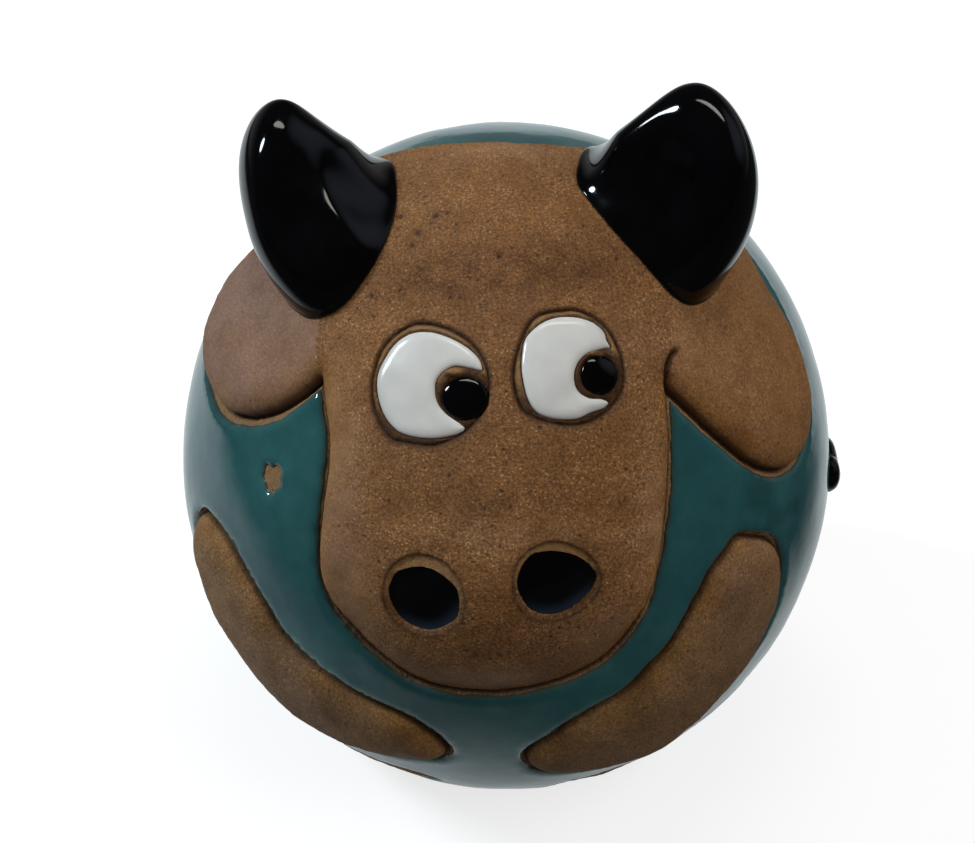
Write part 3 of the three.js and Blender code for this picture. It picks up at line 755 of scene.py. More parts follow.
# What lies in the clay, each painted over the one before: cells in a metre, the colour channel that picks
# from them and the least of it that counts, how much smaller than its cell each one is, how much it covers,
# its colour and its rise. A dense kind thins out in patches.
grainKinds = {
    "fine pits": {
        "cells": 3300, "channel": "Red", "least": 0.8, "tight": 1.9, "cover": 0.75,
        "tone": (0.045, 0.022, 0.012), "rise": -0.3, "dense": True,
    },
    "pits": {
        "cells": 1100, "channel": "Red", "least": 0.82, "tight": 3.0, "cover": 0.8,
        "tone": (0.03, 0.016, 0.01), "rise": -0.8, "dense": False,
    },
    "fine grains": {
        "cells": 3600, "channel": "Green", "least": 0.78, "tight": 1.8, "cover": 0.8,
        "tone": (0.5, 0.33, 0.17), "rise": 0.3, "dense": True,
    },
    "grains": {
        "cells": 1700, "channel": "Green", "least": 0.93, "tight": 3.0, "cover": 0.75,
        "tone": (0.5, 0.33, 0.19), "rise": 0.3, "dense": False,
    },
}


# Coarse clay: grains and pits in a tinted ground, with a height for them.
def makeClayGroup():
    group = bpy.data.node_groups.new("coarse clay", "ShaderNodeTree")
    face = group.interface
    face.new_socket("Ground", in_out="INPUT", socket_type="NodeSocketColor")
    face.new_socket("Grain", in_out="INPUT", socket_type="NodeSocketFloat").default_value = 1.0
    for name, kind in (("Color", "Color"), ("Roughness", "Float"), ("Height", "Float")):
        face.new_socket(name, in_out="OUTPUT", socket_type="NodeSocket" + kind)
    given = addNode(group, "NodeGroupInput")
    amount = given.outputs["Grain"]
    where = objectPlace(group)
    cloud = rampNode(group, noise(group, where, 55, 3, 0.6), [
        (0.3, (1.04, 0.98, 0.84)), (0.5, (1.0, 1.0, 1.0)), (0.7, (0.98, 1.0, 1.2))])
    patchy = noise(group, where, 210, 4, 0.65)
    patches = rampNode(group, patchy, [
        (0.28, (0.78, 0.75, 0.72)), (0.5, (1, 1, 1)), (0.74, (1.18, 1.18, 1.18))])
    fineNoise = noise(group, where, 3600, 3, 0.7)
    mottled = rampNode(group, fineNoise, [
        (0.33, (0.48, 0.44, 0.41)), (0.5, (0.98, 0.98, 0.98)), (0.67, (1.62, 1.64, 1.64))])
    colour = tinted(group, tinted(group, given.outputs["Ground"], cloud), patches)
    colour = mixColour(group, amount, colour, tinted(group, colour, mottled))
    height = times(group, fineNoise, times(group, amount, 0.6))
    dense = times(group, amount, smoothNode(group, patchy, 0.4, 0.62, 0.25, 1.0))
    for kind in grainKinds.values():
        cell = addNode(group, "ShaderNodeTexVoronoi", {
            "Vector": where, "Scale": kind["cells"], "Randomness": 1.0})
        pick = addNode(group, "ShaderNodeSeparateColor", {"Color": cell.outputs["Color"]})
        near = minus(group, 1.0, times(group, cell.outputs["Distance"], kind["tight"]))
        near = addNode(group, "ShaderNodeClamp", {"Value": near}).outputs[0]
        picked = mathNode(group, "GREATER_THAN", pick.outputs[kind["channel"]], kind["least"])
        near = times(group, times(group, near, picked), dense if kind["dense"] else amount)
        colour = mixColour(group, times(group, near, kind["cover"]), colour, kind["tone"])
        height = plus(group, height, times(group, near, kind["rise"]))
    roughness = plus(group, 0.72, times(group, fineNoise, 0.2))
    addNode(group, "NodeGroupOutput", {"Color": colour, "Roughness": roughness, "Height": height})
    return group


clayGroup = makeClayGroup()
clayTints = {
    "face": {"ground": (0.188, 0.084, 0.0275), "grain": 1.0, "relief": 0.00018},
    # The left ear's ground is paler and pinker: partly its own smoother clay, partly a painted sheen of the
    # window on the left.
    "leftEar": {"ground": (0.23, 0.125, 0.075), "grain": 0.45, "relief": 0.0001},
    "rightEar": {"ground": (0.235, 0.112, 0.042), "grain": 0.7, "relief": 0.00013},
    # The legs' ground is their own olive brown, lightened as painted light in place of the light from below.
    "leg": {"ground": (0.205, 0.11, 0.049), "grain": 0.7, "relief": 0.00013},
    "ground": {"ground": (0.17, 0.085, 0.035), "grain": 1.0, "relief": 0.00016},
}
# Colour of the scored lines: dark clay, with painted shade for the shadow deep in them.
grooveAndShadeTone = (0.026, 0.011, 0.005)
ledgeTone = (0.33, 0.19, 0.08)


def makeClay(name):
    tint = clayTints[name]
    material, tree = startMaterial("clay " + name)
    clay = addNode(tree, "ShaderNodeGroup", node_tree=clayGroup)
    clay.inputs["Ground"].default_value = (*tint["ground"], 1)
    clay.inputs["Grain"].default_value = tint["grain"]
    colour = clay.outputs["Color"]
    if name == "face":
        # Where the pale mark lies the clay is smoother, with a painted pale bluish sheen.
        pale = markNode(tree, "pale")
        tree.links.new(smoothNode(tree, pale, 0.0, 1.0, tint["grain"], 0.3), clay.inputs["Grain"])
        colour = mixColour(tree, pale, colour, tinted(tree, colour, (1.28, 1.5, 2.2)))
    if name != "ground":
        # The tone mark lightens or darkens the clay: at random on the legs; on the face, the clay's own
        # patches together with painted light and shade.
        tone = markNode(tree, "tone")
        green = mathNode(tree, "POWER", tone, 1.2)
        blue = mathNode(tree, "POWER", tone, 1.5)
        tone = addNode(tree, "ShaderNodeCombineColor", {"Red": tone, "Green": green, "Blue": blue})
        colour = tinted(tree, colour, tone.outputs["Color"])
    colour = mixColour(tree, markNode(tree, "rim"), colour, tinted(tree, colour, (1.08, 0.97, 0.64)))
    # Bare ledges are lightened; scored lines are darkened with dark clay and painted shade.
    for mark, tone, much in (("ledge", ledgeTone, 0.5), ("groove", grooveAndShadeTone, 0.9)):
        colour = mixColour(tree, times(tree, markNode(tree, mark), much), colour, tone)
    roughness, height = clay.outputs["Roughness"], clay.outputs["Height"]
    return finishMaterial(material, colour, roughness, tint["relief"], height, 0.3)


def makeTeal():
    material, tree = startMaterial("teal glaze")
    where = objectPlace(tree)
    colour = rampNode(tree, noise(tree, where, 70, 3, 0.55), [
        (0.3, (0.016, 0.068, 0.075)), (0.5, (0.023, 0.089, 0.092)), (0.72, (0.031, 0.11, 0.107))])
    streaks = rampNode(tree, noise(tree, where, 420, 3, 0.6), [
        (0.3, (0.75, 0.8, 0.8)), (0.7, (1.2, 1.2, 1.2))])
    colour = mixColour(tree, 0.5, colour, tinted(tree, colour, streaks))
    colour = mixColour(tree, markNode(tree, "mottle"), colour, (0.01, 0.045, 0.045))
    broken = rampNode(tree, noise(tree, where, 900, 2, 0.6), [(0.3, (0.4,)), (0.7, (1.0,))])
    colour = mixColour(tree, times(tree, markNode(tree, "edgeThin"), broken), colour, (0.1, 0.072, 0.036))
    return finishMaterial(material, colour, 0.09, 0.00003, noise(tree, where, 300, 2, 0.5), 0.5)


glosses = {
    "black glaze": {
        "dark": (0.0012, 0.0012, 0.0015), "light": (0.0022, 0.0022, 0.0026), "roughness": 0.07,
        "wavy": 0.00002, "shine": 0.36,
    },
    "nostril glaze": {
        "dark": (0.0012, 0.0012, 0.0015), "light": (0.0022, 0.0022, 0.0026), "roughness": 0.09,
        "wavy": 0.00002, "shine": 0.36, "cool": (0.014, 0.022, 0.032),
    },
    "white glaze": {
        "dark": (0.572, 0.556, 0.52), "light": (0.625, 0.606, 0.565), "roughness": 0.17,
        "wavy": 0.00001, "shine": 0.5,
    },
}


def makeGloss(name):
    gloss = glosses[name]
    material, tree = startMaterial(name)
    where = objectPlace(tree)
    colour = rampNode(tree, noise(tree, where, 260, 3, 0.55), [(0.35, gloss["dark"]), (0.65, gloss["light"])])
    # A grey-blue reflection is painted on the lower side of the pool.
    if "cool" in gloss:
        colour = mixColour(tree, markNode(tree, "cool"), colour, gloss["cool"])
    wave = noise(tree, where, 220, 2, 0.5)
    return finishMaterial(material, colour, gloss["roughness"], gloss["wavy"], wave, gloss["shine"])


clay = {name: makeClay(name) for name in clayTints}
tealGlaze = makeTeal()
blackGlaze, nostrilGlaze, whiteGlaze = (makeGloss(name) for name in glosses)
print("cow: the materials are made")

# The head and the ears


def markRings(loops, offsets, step=0.22):
    return [(shifted(loop, by, step), step) for loop in loops for by in offsets]


featureLoops = [eye["ringLoop"] for eye in eyes.values()] + [n["ringLoop"] for n in nostrils.values()]
socketLoops = [eye[key] for eye in eyes.values() for key in ("whiteLoop", "pupilLoop")]
socketLoops += [n["blackLoop"] for n in nostrils.values()]
faceExtra = markRings(featureLoops, (-0.5, -0.25, -0.12, 0.001, 0.12, 0.25, 0.5))
faceExtra += markRings(socketLoops, (-0.25, -0.1, 0.05, 0.2, 0.4))
for eye in eyes.values():
    x, y, wide, tall = eye["bare"]
    faceExtra += [(faceOval((x, y, wide * k, tall * k)), 0.12) for k in (0.35, 0.7, 1.0, 1.3)]
for x, y, wide, deep in head["pits"]:
    faceExtra += [(faceOval((x, y, wide * k, wide * k)), 0.12) for k in (0.02, 0.5, 1.0, 1.6)]
hookLine = spaced(curve(onFace(face["hook"]), closed=False), 0.15, closed=False)
sideways = unit(np.cross(hookLine, np.gradient(hookLine, axis=0)))
faceExtra += [(unit(hookLine + sideways * by / ball["radius"]), 0.14) for by in (0, -0.2, 0.2, -0.45, 0.45)]
facePoints, faceTris, _ = tiled(
    [(faceLoop, 1)], [(0.12, 0.24), (0.28, 0.26), (0.5, 0.3), (0.8, 0.34), (1.15, 0.38), (1.6, 0.42)],
    [(0.46, 1.9, 99)], faceOut, faceExtra)


# The fine unevenness of a skin, which fades out at its rim.
def fineSkin(loop, d, much, seed):
    return much * lumps(d, 0.7, seed) * ramp(inside(loop, d), 0, 0.6)


# How much a relief's edge turns golden, in patches.
def rimOf(loop, d):
    return (1 - ramp(inside(loop, d), 0.3, 3.2)) * np.clip(0.75 + 0.35 * lumps(d, 6, 53), 0, 1)


faceHeight, faceGrooveAndShade, faceLedge = headField(facePoints)
faceTop = lift(facePoints, faceHeight + fineSkin(faceLoop, facePoints, 0.035, 51))
faceLow = lift(facePoints, np.full(len(facePoints), underside))
across, up = toFace(facePoints)
faceSmoothAndSheen = hills(across, up, head["pale"]) * (1 + 0.2 * lumps(facePoints, 4.0, 56))
faceMarks = {
    "groove": faceGrooveAndShade,
    "ledge": faceLedge,
    "rim": rimOf(faceLoop, facePoints),
    # The tone mark: the clay's own patches, with painted light and shade on the face.
    "tone": 1 + hills(across, up, head["tonesAndShading"]) * (1 + 0.35 * lumps(facePoints, 3.0, 54)),
    "pale": np.clip(faceSmoothAndSheen, 0, 1),
}
faceAcrossAt, faceUpAt = toFace(unit(facePoints[faceTris].sum(1)))


def cutAt(cut, up):
    return np.interp(up, [p[1] for p in cut], [p[0] for p in cut])


leftOf = (faceAcrossAt < cutAt(face["leftCut"], faceUpAt)) & (faceUpAt > 1)
rightOf = (faceAcrossAt > cutAt(face["rightCut"], faceUpAt)) & (faceUpAt > -5)
for name, kept, tint, node in (
        ("headClay", ~leftOf & ~rightOf, "face", "head"), ("leftEarClay", leftOf, "leftEar", "left_ear"),
        ("rightEarClay", rightOf, "rightEar", "right_ear")):
    makeShell(name, faceTop, faceLow, faceTris[kept], clay[tint], [node], "clay", faceMarks)

# The eyes and the nostrils

# How far each pool of glaze is sunk, how high or hollow it is, and how wide its shoulder is.
pools = {
    "white": {"sink": 0.36, "dome": 0.4, "wide": 1.0},
    "pupil": {"sink": 0.3, "dome": 0.62, "wide": 2.2},
    "nostril": {"sink": 0.55, "dome": -0.15, "wide": 1.9},
}


# A pool of glaze lying in its hollow, marked on its lower side, where a grey-blue reflection is painted on
# the nostrils' glaze.
def makePool(name, loop, pool, material, node, slot):
    reach = loop["reach"] * ball["radius"]
    rings = [(k, 0.18) for k in (0.06, 0.14, 0.25, 0.4, 0.6) if k < reach * 0.7]
    points, tris, _ = tiled([(loop, 1)], rings, [(0.26, 0.7, 99)], loop["middle"])
    far = inside(loop, points)
    seat = headSmooth(points) - pool["sink"]
    top = lift(points, seat + pool["dome"] * shoulder(far, pool["wide"], 2.0))
    low = lift(points, seat - 0.75 + min(pool["dome"], 0))
    across, up = toFace(points)
    middle = toFace(loop["middle"][None, :])
    below = middle[1] - up + 0.3 * (across - middle[0])
    cool = ramp(below, 0.3, 3.2) * (1 - ramp(far, 0.1, 1.5))
    makeShell(name, top, low, tris, material, [node], slot, {"cool": cool}, 70)


for side, eye in eyes.items():
    makePool(side + "White", eye["whiteLoop"], pools["white"], whiteGlaze, side + "_eye_white", "white_glaze")
    makePool(side + "Pupil", eye["pupilLoop"], pools["pupil"], blackGlaze, side + "_pupil", "black_glaze")
for side, nostril in nostrils.items():
    loop = nostril["blackLoop"]
    makePool(side + "Nostril", loop, pools["nostril"], nostrilGlaze, side + "_nostril", "black_glaze")

# The legs, the tail and its tuft


def makeStrip(name, loop, shape, node):
    far = min(loop["reach"] * ball["radius"], 20)
    rings = [(k, 0.26) for k in (0.12, 0.28, 0.5, 0.8, 1.2) if k < far]
    points, tris, _ = tiled([(loop, 1)], rings, [(shape["spacing"], 1.3, 99)], loop["middle"])
    top = lift(points, limbHeight(loop, shape, points) + fineSkin(loop, points, 0.03, 52))
    low = lift(points, np.full(len(points), underside))
    # The scored line round the strip's rim is darkened, partly dark clay and partly painted shade.
    marks = {
        "groove": 0.7 * (1 - ramp(inside(loop, points), 0.0, 0.35)),
        "rim": rimOf(loop, points),
        "tone": 1 + 0.08 * lumps(points, 7, 55),
    }
    makeShell(name, top, low, tris, clay["leg"], [node], "clay", marks)


for node, loop in legLoops.items():
    side, *rest = node.split("_")
    name = side + "".join(word.title() for word in rest) + "Clay"
    makeStrip(name, loop, frontLegs if "front" in node else hindLegs, node)
makeStrip("tailClay", tailLoop, tail, "tail")
makeStrip("tuftClay", tuftLoop, tuft, "tail_tuft")

tuftGlazeLoop = makeLoop(shifted(tuftLoop, 0.35, fine))
tuftPoints, tuftTris, _ = tiled(
    [(tuftGlazeLoop, 1)], [(0.08, 0.22), (0.2, 0.22), (0.4, 0.26), (0.7, 0.3)], [(0.35, 0.9, 99)],
    tuftGlazeLoop["middle"])
tuftUnder = limbHeight(tuftLoop, tuft, tuftPoints)
tuftOver = tuftUnder - 0.05 + tuft["glaze"] * shoulder(inside(tuftGlazeLoop, tuftPoints), 0.8, 2.0)
makeShell("tuftGlaze", lift(tuftPoints, tuftOver), lift(tuftPoints, tuftUnder - 0.1), tuftTris, blackGlaze,
          ["tail_tuft_glaze"], "black_glaze")

# The horns

hornShape = {
    "stations": [0, 0.3, 0.6, 0.85, 1.0],  # from root to tip, where each horn's "long" and "wide" are given
    "glaze": 0.55,
    "lip": 0.3,
    "round": 128,
}
horns = {
    "left": {
        "root": (-20.4, 23.4), "turn": 0, "bow": (6.3, 1.8, 6.0), "tip": (5.3, 4.0, 13.1), "egg": 0.19,
        "long": [11.6, 11.2, 10.8, 10.5, 8.5],  # half sizes of its ovals, before the round end draws them in
        "wide": [8.6, 8.7, 9.2, 9.2, 8.5],
        "base": [
            (-14.8, 33.0), (-12.9, 28.5), (-12.2, 24.0), (-12.7, 19.5), (-14.4, 15.4), (-17.2, 12.0),
            (-20.4, 11.2), (-23.4, 12.6), (-26.2, 15.6), (-28.4, 19.6), (-29.2, 24.4), (-28.0, 29.2),
            (-24.6, 33.2), (-19.6, 34.9),
        ],
        "flank": (318, 0.16),  # degrees round, and how far in it lies
        "flare": 25,  # degrees round from the right: where the skirt runs out over the head
        "joins": (0.55, 0.3),  # how far up the skirt reaches: where it runs out, and elsewhere
    },
    "right": {
        "root": (19.4, 25.0), "turn": 24, "bow": (3.2, -1.1, 8.8), "tip": (2.5, 3.8, 15.1), "egg": 0.145,
        "long": [11.1, 12.1, 13.3, 12.1, 10.6],
        "wide": [9.0, 9.7, 10.6, 10.4, 10.1],
        "base": [
            (10.2, 35.8), (8.8, 31.6), (8.8, 27.8), (10.6, 24.8), (13.4, 21.3), (16.8, 18.0), (19.8, 15.2),
            (22.0, 14.6), (24.6, 16.0), (26.8, 19.0), (28.2, 23.6), (27.8, 28.4), (25.0, 33.0),
            (20.4, 36.6), (14.6, 37.8),
        ],
        "flank": (222, 0.5),
        "flare": 138,
        "joins": (0.6, 0.32),
    },
}


# The rings of a horn's outer skin, from under the head's skin to its tip, and the tip.
def hornRings(horn):
    root = np.array(horn["root"])
    side = math.copysign(1, root[0])
    out = onFace(root)[0]
    foot = lift(out, head["thick"])
    bow, tip = (foot + np.array(horn[key]) * [side, 1, 1] for key in ("bow", "tip"))
    t = np.linspace(0, 1, 400)[:, None]
    line = (1 - t) ** 2 * foot + 2 * t * (1 - t) * bow + t * t * tip
    run = np.concatenate([[0], np.cumsum(np.linalg.norm(np.diff(line, axis=0), axis=1))])
    run /= run[-1]
    turn = math.radians(horn["turn"])
    back = onFace(root + [-side * math.sin(turn), math.cos(turn)])[0] - out
    angle = np.linspace(0, math.tau, hornShape["round"], endpoint=False)[:, None]

    def along(at):
        return np.array([np.interp(min(max(at, 0), 1), run, line[:, k]) for k in range(3)])

    # Half of an oval's size at a station: a round end, times a share that changes slowly.
    def pick(at, key):
        share = np.polyfit(hornShape["stations"], horn[key], 4)
        return np.polyval(share, at) * math.sqrt(max(1 - at, 0))

    # One oval at a station. The flank lies further in.
    def ovalAt(at, flank=0.0):
        ahead = unit(along(at + 0.01) - along(at - 0.01))
        across = unit(np.cross(ahead, back))
        fore = np.cross(across, ahead)
        c, s = np.cos(angle), np.sin(angle)
        away = fore * (pick(at, "long") * c) + across * (pick(at, "wide") * (1 + horn["egg"] * c) * s)
        return along(at) + away * (1 - flank * ramp(at, -0.15, 0.45) * (1 - ramp(at, 0.45, 1.0)))

    # One ring, each point of which lies at a station of its own.
    def ringAt(stations):
        return np.array([ovalAt(at, flank)[i] for i, at in enumerate(stations)])

    # Where each line of the skirt leaves the head.
    base = makeLoop(spaced(curve(onFace(horn["base"])), 0.2))
    across, up = toFace(unit(ovalAt(0.12) - [0, 0, middleHeight]))
    polar = np.arctan2(up - root[1], across - root[0])
    baseAcross, baseUp = toFace(base["p"])
    basePolar = np.arctan2(baseUp - root[1], baseAcross - root[0])
    order = np.argsort(basePolar)
    far = np.hypot(baseUp - root[1], baseAcross - root[0])[order]
    reach = np.interp(polar, basePolar[order], far, period=math.tau)
    baseDirs = onFace(np.stack([root[0] + reach * np.cos(polar), root[1] + reach * np.sin(polar)], 1))
    baseHeight = headSmooth(baseDirs)

    # How much each line runs out over the head, how far in it lies, and where and how it joins the horn.
    flare = ramp(np.cos(polar - math.radians(horn["flare"])), 0.4, 0.95)
    flank = horn["flank"][1] * ramp(np.cos(polar - math.radians(horn["flank"][0])), 0.5, 1)[:, None]
    joins = horn["joins"][1] + (horn["joins"][0] - horn["joins"][1]) * flare
    joinPoints = ringAt(joins)
    joinAhead = unit(ringAt(joins + 0.02) - joinPoints)
    lip = lift(baseDirs, baseHeight + hornShape["lip"])
    inward = unit(np.cross(baseDirs, np.roll(baseDirs, -1, 0) - np.roll(baseDirs, 1, 0)))
    inward *= np.sign((inward * (foot - lip)).sum(1))[:, None]
    steep = np.radians(80 - 56 * flare - 22 * np.clip(flank[:, 0] * 2, 0, 1) * (1 - flare))[:, None]
    gap = np.linalg.norm(joinPoints - lip, axis=1)[:, None]
    full = (1.15 - 0.35 * flare)[:, None]
    leave = gap * full * (inward * np.cos(steep) + baseDirs * np.sin(steep))
    arrive = gap * (full - 0.25) * joinAhead
    under = lift(baseDirs, baseHeight + hornShape["lip"] * 0.6) - inward * 0.1
    rings = [lift(baseDirs, baseHeight - 0.5), lift(baseDirs, baseHeight), under, lip]
    for s in np.linspace(0, 1, 23)[1:]:
        fromLip = (1 + 2 * s) * (1 - s) ** 2 * lip + s * (1 - s) ** 2 * leave
        rings.append(fromLip + s * s * (3 - 2 * s) * joinPoints + s * s * (s - 1) * arrive)
    for s in np.linspace(0, 1, 46)[1:]:
        rings.append(ringAt(joins + (0.999 - joins) * (1 - (1 - s) ** 1.5)))
    return rings, line[-1]


# Triangles between two rings of n points, which start at a and b.
def band(a, b, n):
    i = np.arange(n)
    j = (i + 1) % n
    return np.vstack([np.stack([a + i, a + j, b + j], 1), np.stack([a + i, b + j, b + i], 1)])


# One closed skin over rings, with a point at each end.
def ringShell(rings, ends):
    n = len(rings[0])
    points = np.vstack([*rings, *ends])
    i = np.arange(n)
    j = (i + 1) % n
    tris = [band(k * n, (k + 1) * n, n) for k in range(len(rings) - 1)]
    first = len(rings) * n
    top = first - n
    tris.append(np.stack([np.full(n, first), j, i], 1))
    tris.append(np.stack([top + i, top + j, np.full(n, first + 1)], 1))
    tris = np.vstack(tris)
    middle = points.mean(0)
    a, b, c = points[tris[:, 0]], points[tris[:, 1]], points[tris[:, 2]]
    volume = ((a - middle) * np.cross(b - middle, c - middle)).sum()
    return points, tris if volume > 0 else tris[:, ::-1]


for side, horn in horns.items():
    rings, tip = hornRings(horn)
    lining = []
    core = []
    for ring in rings[:-6]:
        middle = ring.mean(0)
        away = ring - middle
        size = np.linalg.norm(away, axis=1, keepdims=True)
        lining.append(middle + away * np.maximum(1 - hornShape["glaze"] / size, 0.05))
        core.append(middle + (lining[-1] - middle) * 0.985)
    points, tris = ringShell([*lining[::-1], *rings], [lining[-1].mean(0), tip])
    makePiece(side + "HornGlaze", points, tris, blackGlaze, [side + "_horn_glaze"], "black_glaze", sharp=80)
    sunk = core[0] - onFace(horn["root"])[0] * 1.2
    points, tris = ringShell([sunk, *core], [sunk.mean(0), core[-1].mean(0)])
    makePiece(side + "HornClay", points, tris, clay["ground"], [side + "_horn"], "clay")

# The ball of clay, hollow, with its foot and its vent

chip = {
    "middle": (-26.8, -6.6),
    "outline": [
        (-1.3, 0.9), (-0.9, 1.6), (-0.1, 1.3), (0.6, 1.5), (1.4, 0.8), (1.1, 0.0), (1.3, -0.8), (0.5, -1.2),
        (0.0, -1.7), (-0.8, -1.3), (-1.1, -0.5), (-1.5, 0.1),
    ],
}
chipLoop = faceOutline([(chip["middle"][0] + x, chip["middle"][1] + y) for x, y in chip["outline"]], 0.16)
footLoop = makeLoop(spaced(curve(onBody([(turn, -61.5) for turn in range(0, 360, 10)])), 0.9))
clayRings = markRings(rimLoops, (0.15, -0.1, -0.25, -0.38, -0.52, -0.68, -0.9, -1.2), 0.3)
clayRings += markRings([chipLoop], (-0.1, 0.15, 0.4, 0.7), 0.2)
clayPoints, clayTris, rimCount = tiled([(footLoop, -1)], [], [(1.7, 1.0, 99)], -down, clayRings)
clayTop = lift(clayPoints, ballHeight(clayPoints))
clayFar = outside(clayPoints)
# The scored line round each relief is darkened, partly dark clay and partly painted shade; the ledge beside
# it and round the chip is bare clay.
clayMarks = {
    "groove": (1 - ramp(clayFar, grooveWide * 0.6, grooveWide + 0.12)) * (clayFar > -1),
    "ledge": np.maximum(ramp(clayFar, grooveWide, grooveWide + 0.15) * (1 - ramp(clayFar, 1.5, 2.0)),
                        ramp(inside(chipLoop, clayPoints), -0.5, -0.2)),
}
footAngles = np.arctan2(clayTop[:rimCount, 1], clayTop[:rimCount, 0])


def flatRing(radius, z, angles, y=0.0):
    return np.stack([radius * np.cos(angles), y + radius * np.sin(angles), np.full(len(angles), z)], 1)


# A flat disc between an outer ring and the vent, as triangles over the two rings' points.
def discTris(outer, vent):
    flat = np.vstack([outer, vent])[:, :2]
    tris, _ = triangulated(flat, [len(outer), len(vent)])
    away = flat[tris].mean(1) - vent[:, :2].mean(0)
    return tris[np.linalg.norm(away, axis=1) > ball["vent"] * 0.9]


def makeBall():
    parts = [clayTop]
    tris = [clayTris]

    # Adds points and gives back where they start.
    def laid(points):
        parts.append(points)
        return sum(len(part) for part in parts[:-1])

    start = 0
    for radius, z in ball["footEdge"]:
        at = laid(flatRing(radius, z, footAngles))
        tris.append(band(start, at, rimCount)[:, ::-1])
        start = at
    ventAngles = np.linspace(0, math.tau, 32, endpoint=False)
    low, high = (flatRing(ball["vent"], z, ventAngles, ball["ventSetback"]) for z in (0.0, ball["wall"]))
    disc = discTris(parts[-1], low)[:, ::-1]
    lowAt = laid(low)
    highAt = laid(high)
    tris.append(np.where(disc < rimCount, disc + start, disc - rimCount + lowAt))
    tris.append(band(lowAt, highAt, len(low)))
    inner = ball["clay"] - ball["wall"]
    floorRise = math.asin((ball["wall"] - middleHeight) / inner)
    angles = np.linspace(0, math.tau, 96, endpoint=False)
    n = len(angles)
    ring = flatRing(inner * math.cos(floorRise), ball["wall"], angles)
    disc = discTris(ring, high)
    start = laid(ring)
    tris.append(np.where(disc < n, disc + start, disc - n + highAt))
    for rise in np.linspace(floorRise, math.pi / 2, 40)[1:-1]:
        ring = flatRing(inner * math.cos(rise), middleHeight + inner * math.sin(rise), angles)
        at = laid(ring * [ball["narrow"], 1, 1])
        tris.append(band(start, at, n)[:, ::-1])
        start = at
    top = laid(np.array([[0, 0, middleHeight + inner]]))
    i = np.arange(n)
    tris.append(np.stack([start + (i + 1) % n, start + i, np.full(n, top)], 1))
    points = np.vstack(parts)
    plain = np.zeros(len(points) - len(clayTop))
    marks = {mark: np.concatenate([values, plain]) for mark, values in clayMarks.items()}
    makePiece("ballClay", points, np.vstack(tris), clay["ground"], ["body"], "clay", marks)


makeBall()

# The teal glaze over the ball

glaze = {
    "edge": 0.75,
    "seat": 0.42,
    "line": (-56.4, 0.4, 0.3),  # where it ends over the foot, as a rise, and how far that waves
    "dimple": (-22.1, -9.2),  # turn and rise
    "mottles": [  # turn, rise, half width, and how much darker
        (53.0, 16.0, 2.8, 0.55), (62.5, 9.6, 1.3, 0.6), (55.5, 11.0, 2.0, 0.5), (51.0, 20.5, 1.6, 0.35),
        (-30.0, 16.0, 0.7, 0.4), (30.0, -9.0, 1.6, 0.25), (-38.0, 7.0, 0.5, 0.4),
    ],
}


# The glaze's edge round a relief, set off from it by the groove and a ledge of bare clay.
def glazeRim(loop, ledge, seed):
    ragged = 0.05 * lumps(loop["p"], 3.2, seed) + 0.018 * lumps(loop["p"], 0.9, seed + 1)
    off = grooveWide + 0.05 + ledge * (1 + 0.3 * lumps(loop["p"], 7, seed + 2)) + ragged
    return makeLoop(shifted(loop, -np.maximum(off, 0.4), 0.24))


across, up = toFace(faceLoop["p"])
onEar = ramp(np.abs(across), 19.5, 24) * (1 - ramp(up, 22, 30))
bareWide = 0.18 + np.where(across < 0, 0.5, 0.16) * onEar - 0.12 * ramp(-up, 20, 27)
glazeLoops = [glazeRim(faceLoop, bareWide, 61)]
glazeLoops += [glazeRim(loop, 0.12, 71 + 5 * k) for k, loop in enumerate(legLoops.values())]
turns = np.linspace(0, 360, 72, endpoint=False)
rise, wave, ripple = glaze["line"]
rises = rise + wave * np.sin(np.radians(turns * 5 + 20)) + ripple * np.sin(np.radians(turns * 9 + 70))
lineLoop = makeLoop(spaced(curve(onBody(np.stack([turns, rises], 1))), 0.4))
glazeRims = [(loop, -1) for loop in (*glazeLoops, glazeRim(rumpLoop, 0.15, 95), chipLoop, lineLoop)]


# How far points lie from a turn and a rise, in millimetres.
def awayFrom(d, place):
    return angleTo(d, onBody(place)[0]) * ball["radius"]


glazePoints, glazeTris, _ = tiled(
    glazeRims, [(0.07, 0.24), (0.16, 0.26), (0.28, 0.3), (0.45, 0.36), (0.7, 0.5)],
    [(0.75, 0.85, 2.0), (1.15, 1.7, 99)], -down)
glazeFar = inset(glazeRims, glazePoints)
full = ball["glaze"] + 0.05 * lumps(glazePoints, 11, 81) + 0.012 * lumps(glazePoints, 4, 82)
full = full + 0.06 * bump(glazeFar - 1.0, 0.7) - 0.16 * bump(awayFrom(glazePoints, glaze["dimple"]), 1.1)
glazeTop = glaze["seat"] + (full - glaze["seat"]) * shoulder(glazeFar, glaze["edge"], 2.0)
mottle = np.zeros(len(glazePoints))
for turn, rise, wide, much in glaze["mottles"]:
    away = awayFrom(glazePoints, (turn, rise)) * (1 + 0.25 * lumps(glazePoints, 3, 97))
    mottle = np.maximum(mottle, much * (1 - ramp(away, wide * 0.55, wide * 1.2)))
glazeMarks = {"edgeThin": np.clip(1 - glazeFar / 0.35, 0, 1) * 0.8, "mottle": mottle}
makeShell("ballGlaze", lift(glazePoints, glazeTop), lift(glazePoints, np.minimum(glazeTop - 0.04, 0.36)),
          glazeTris, tealGlaze, ["body_glaze"], "teal_glaze", glazeMarks, 80)

# The floor and the light

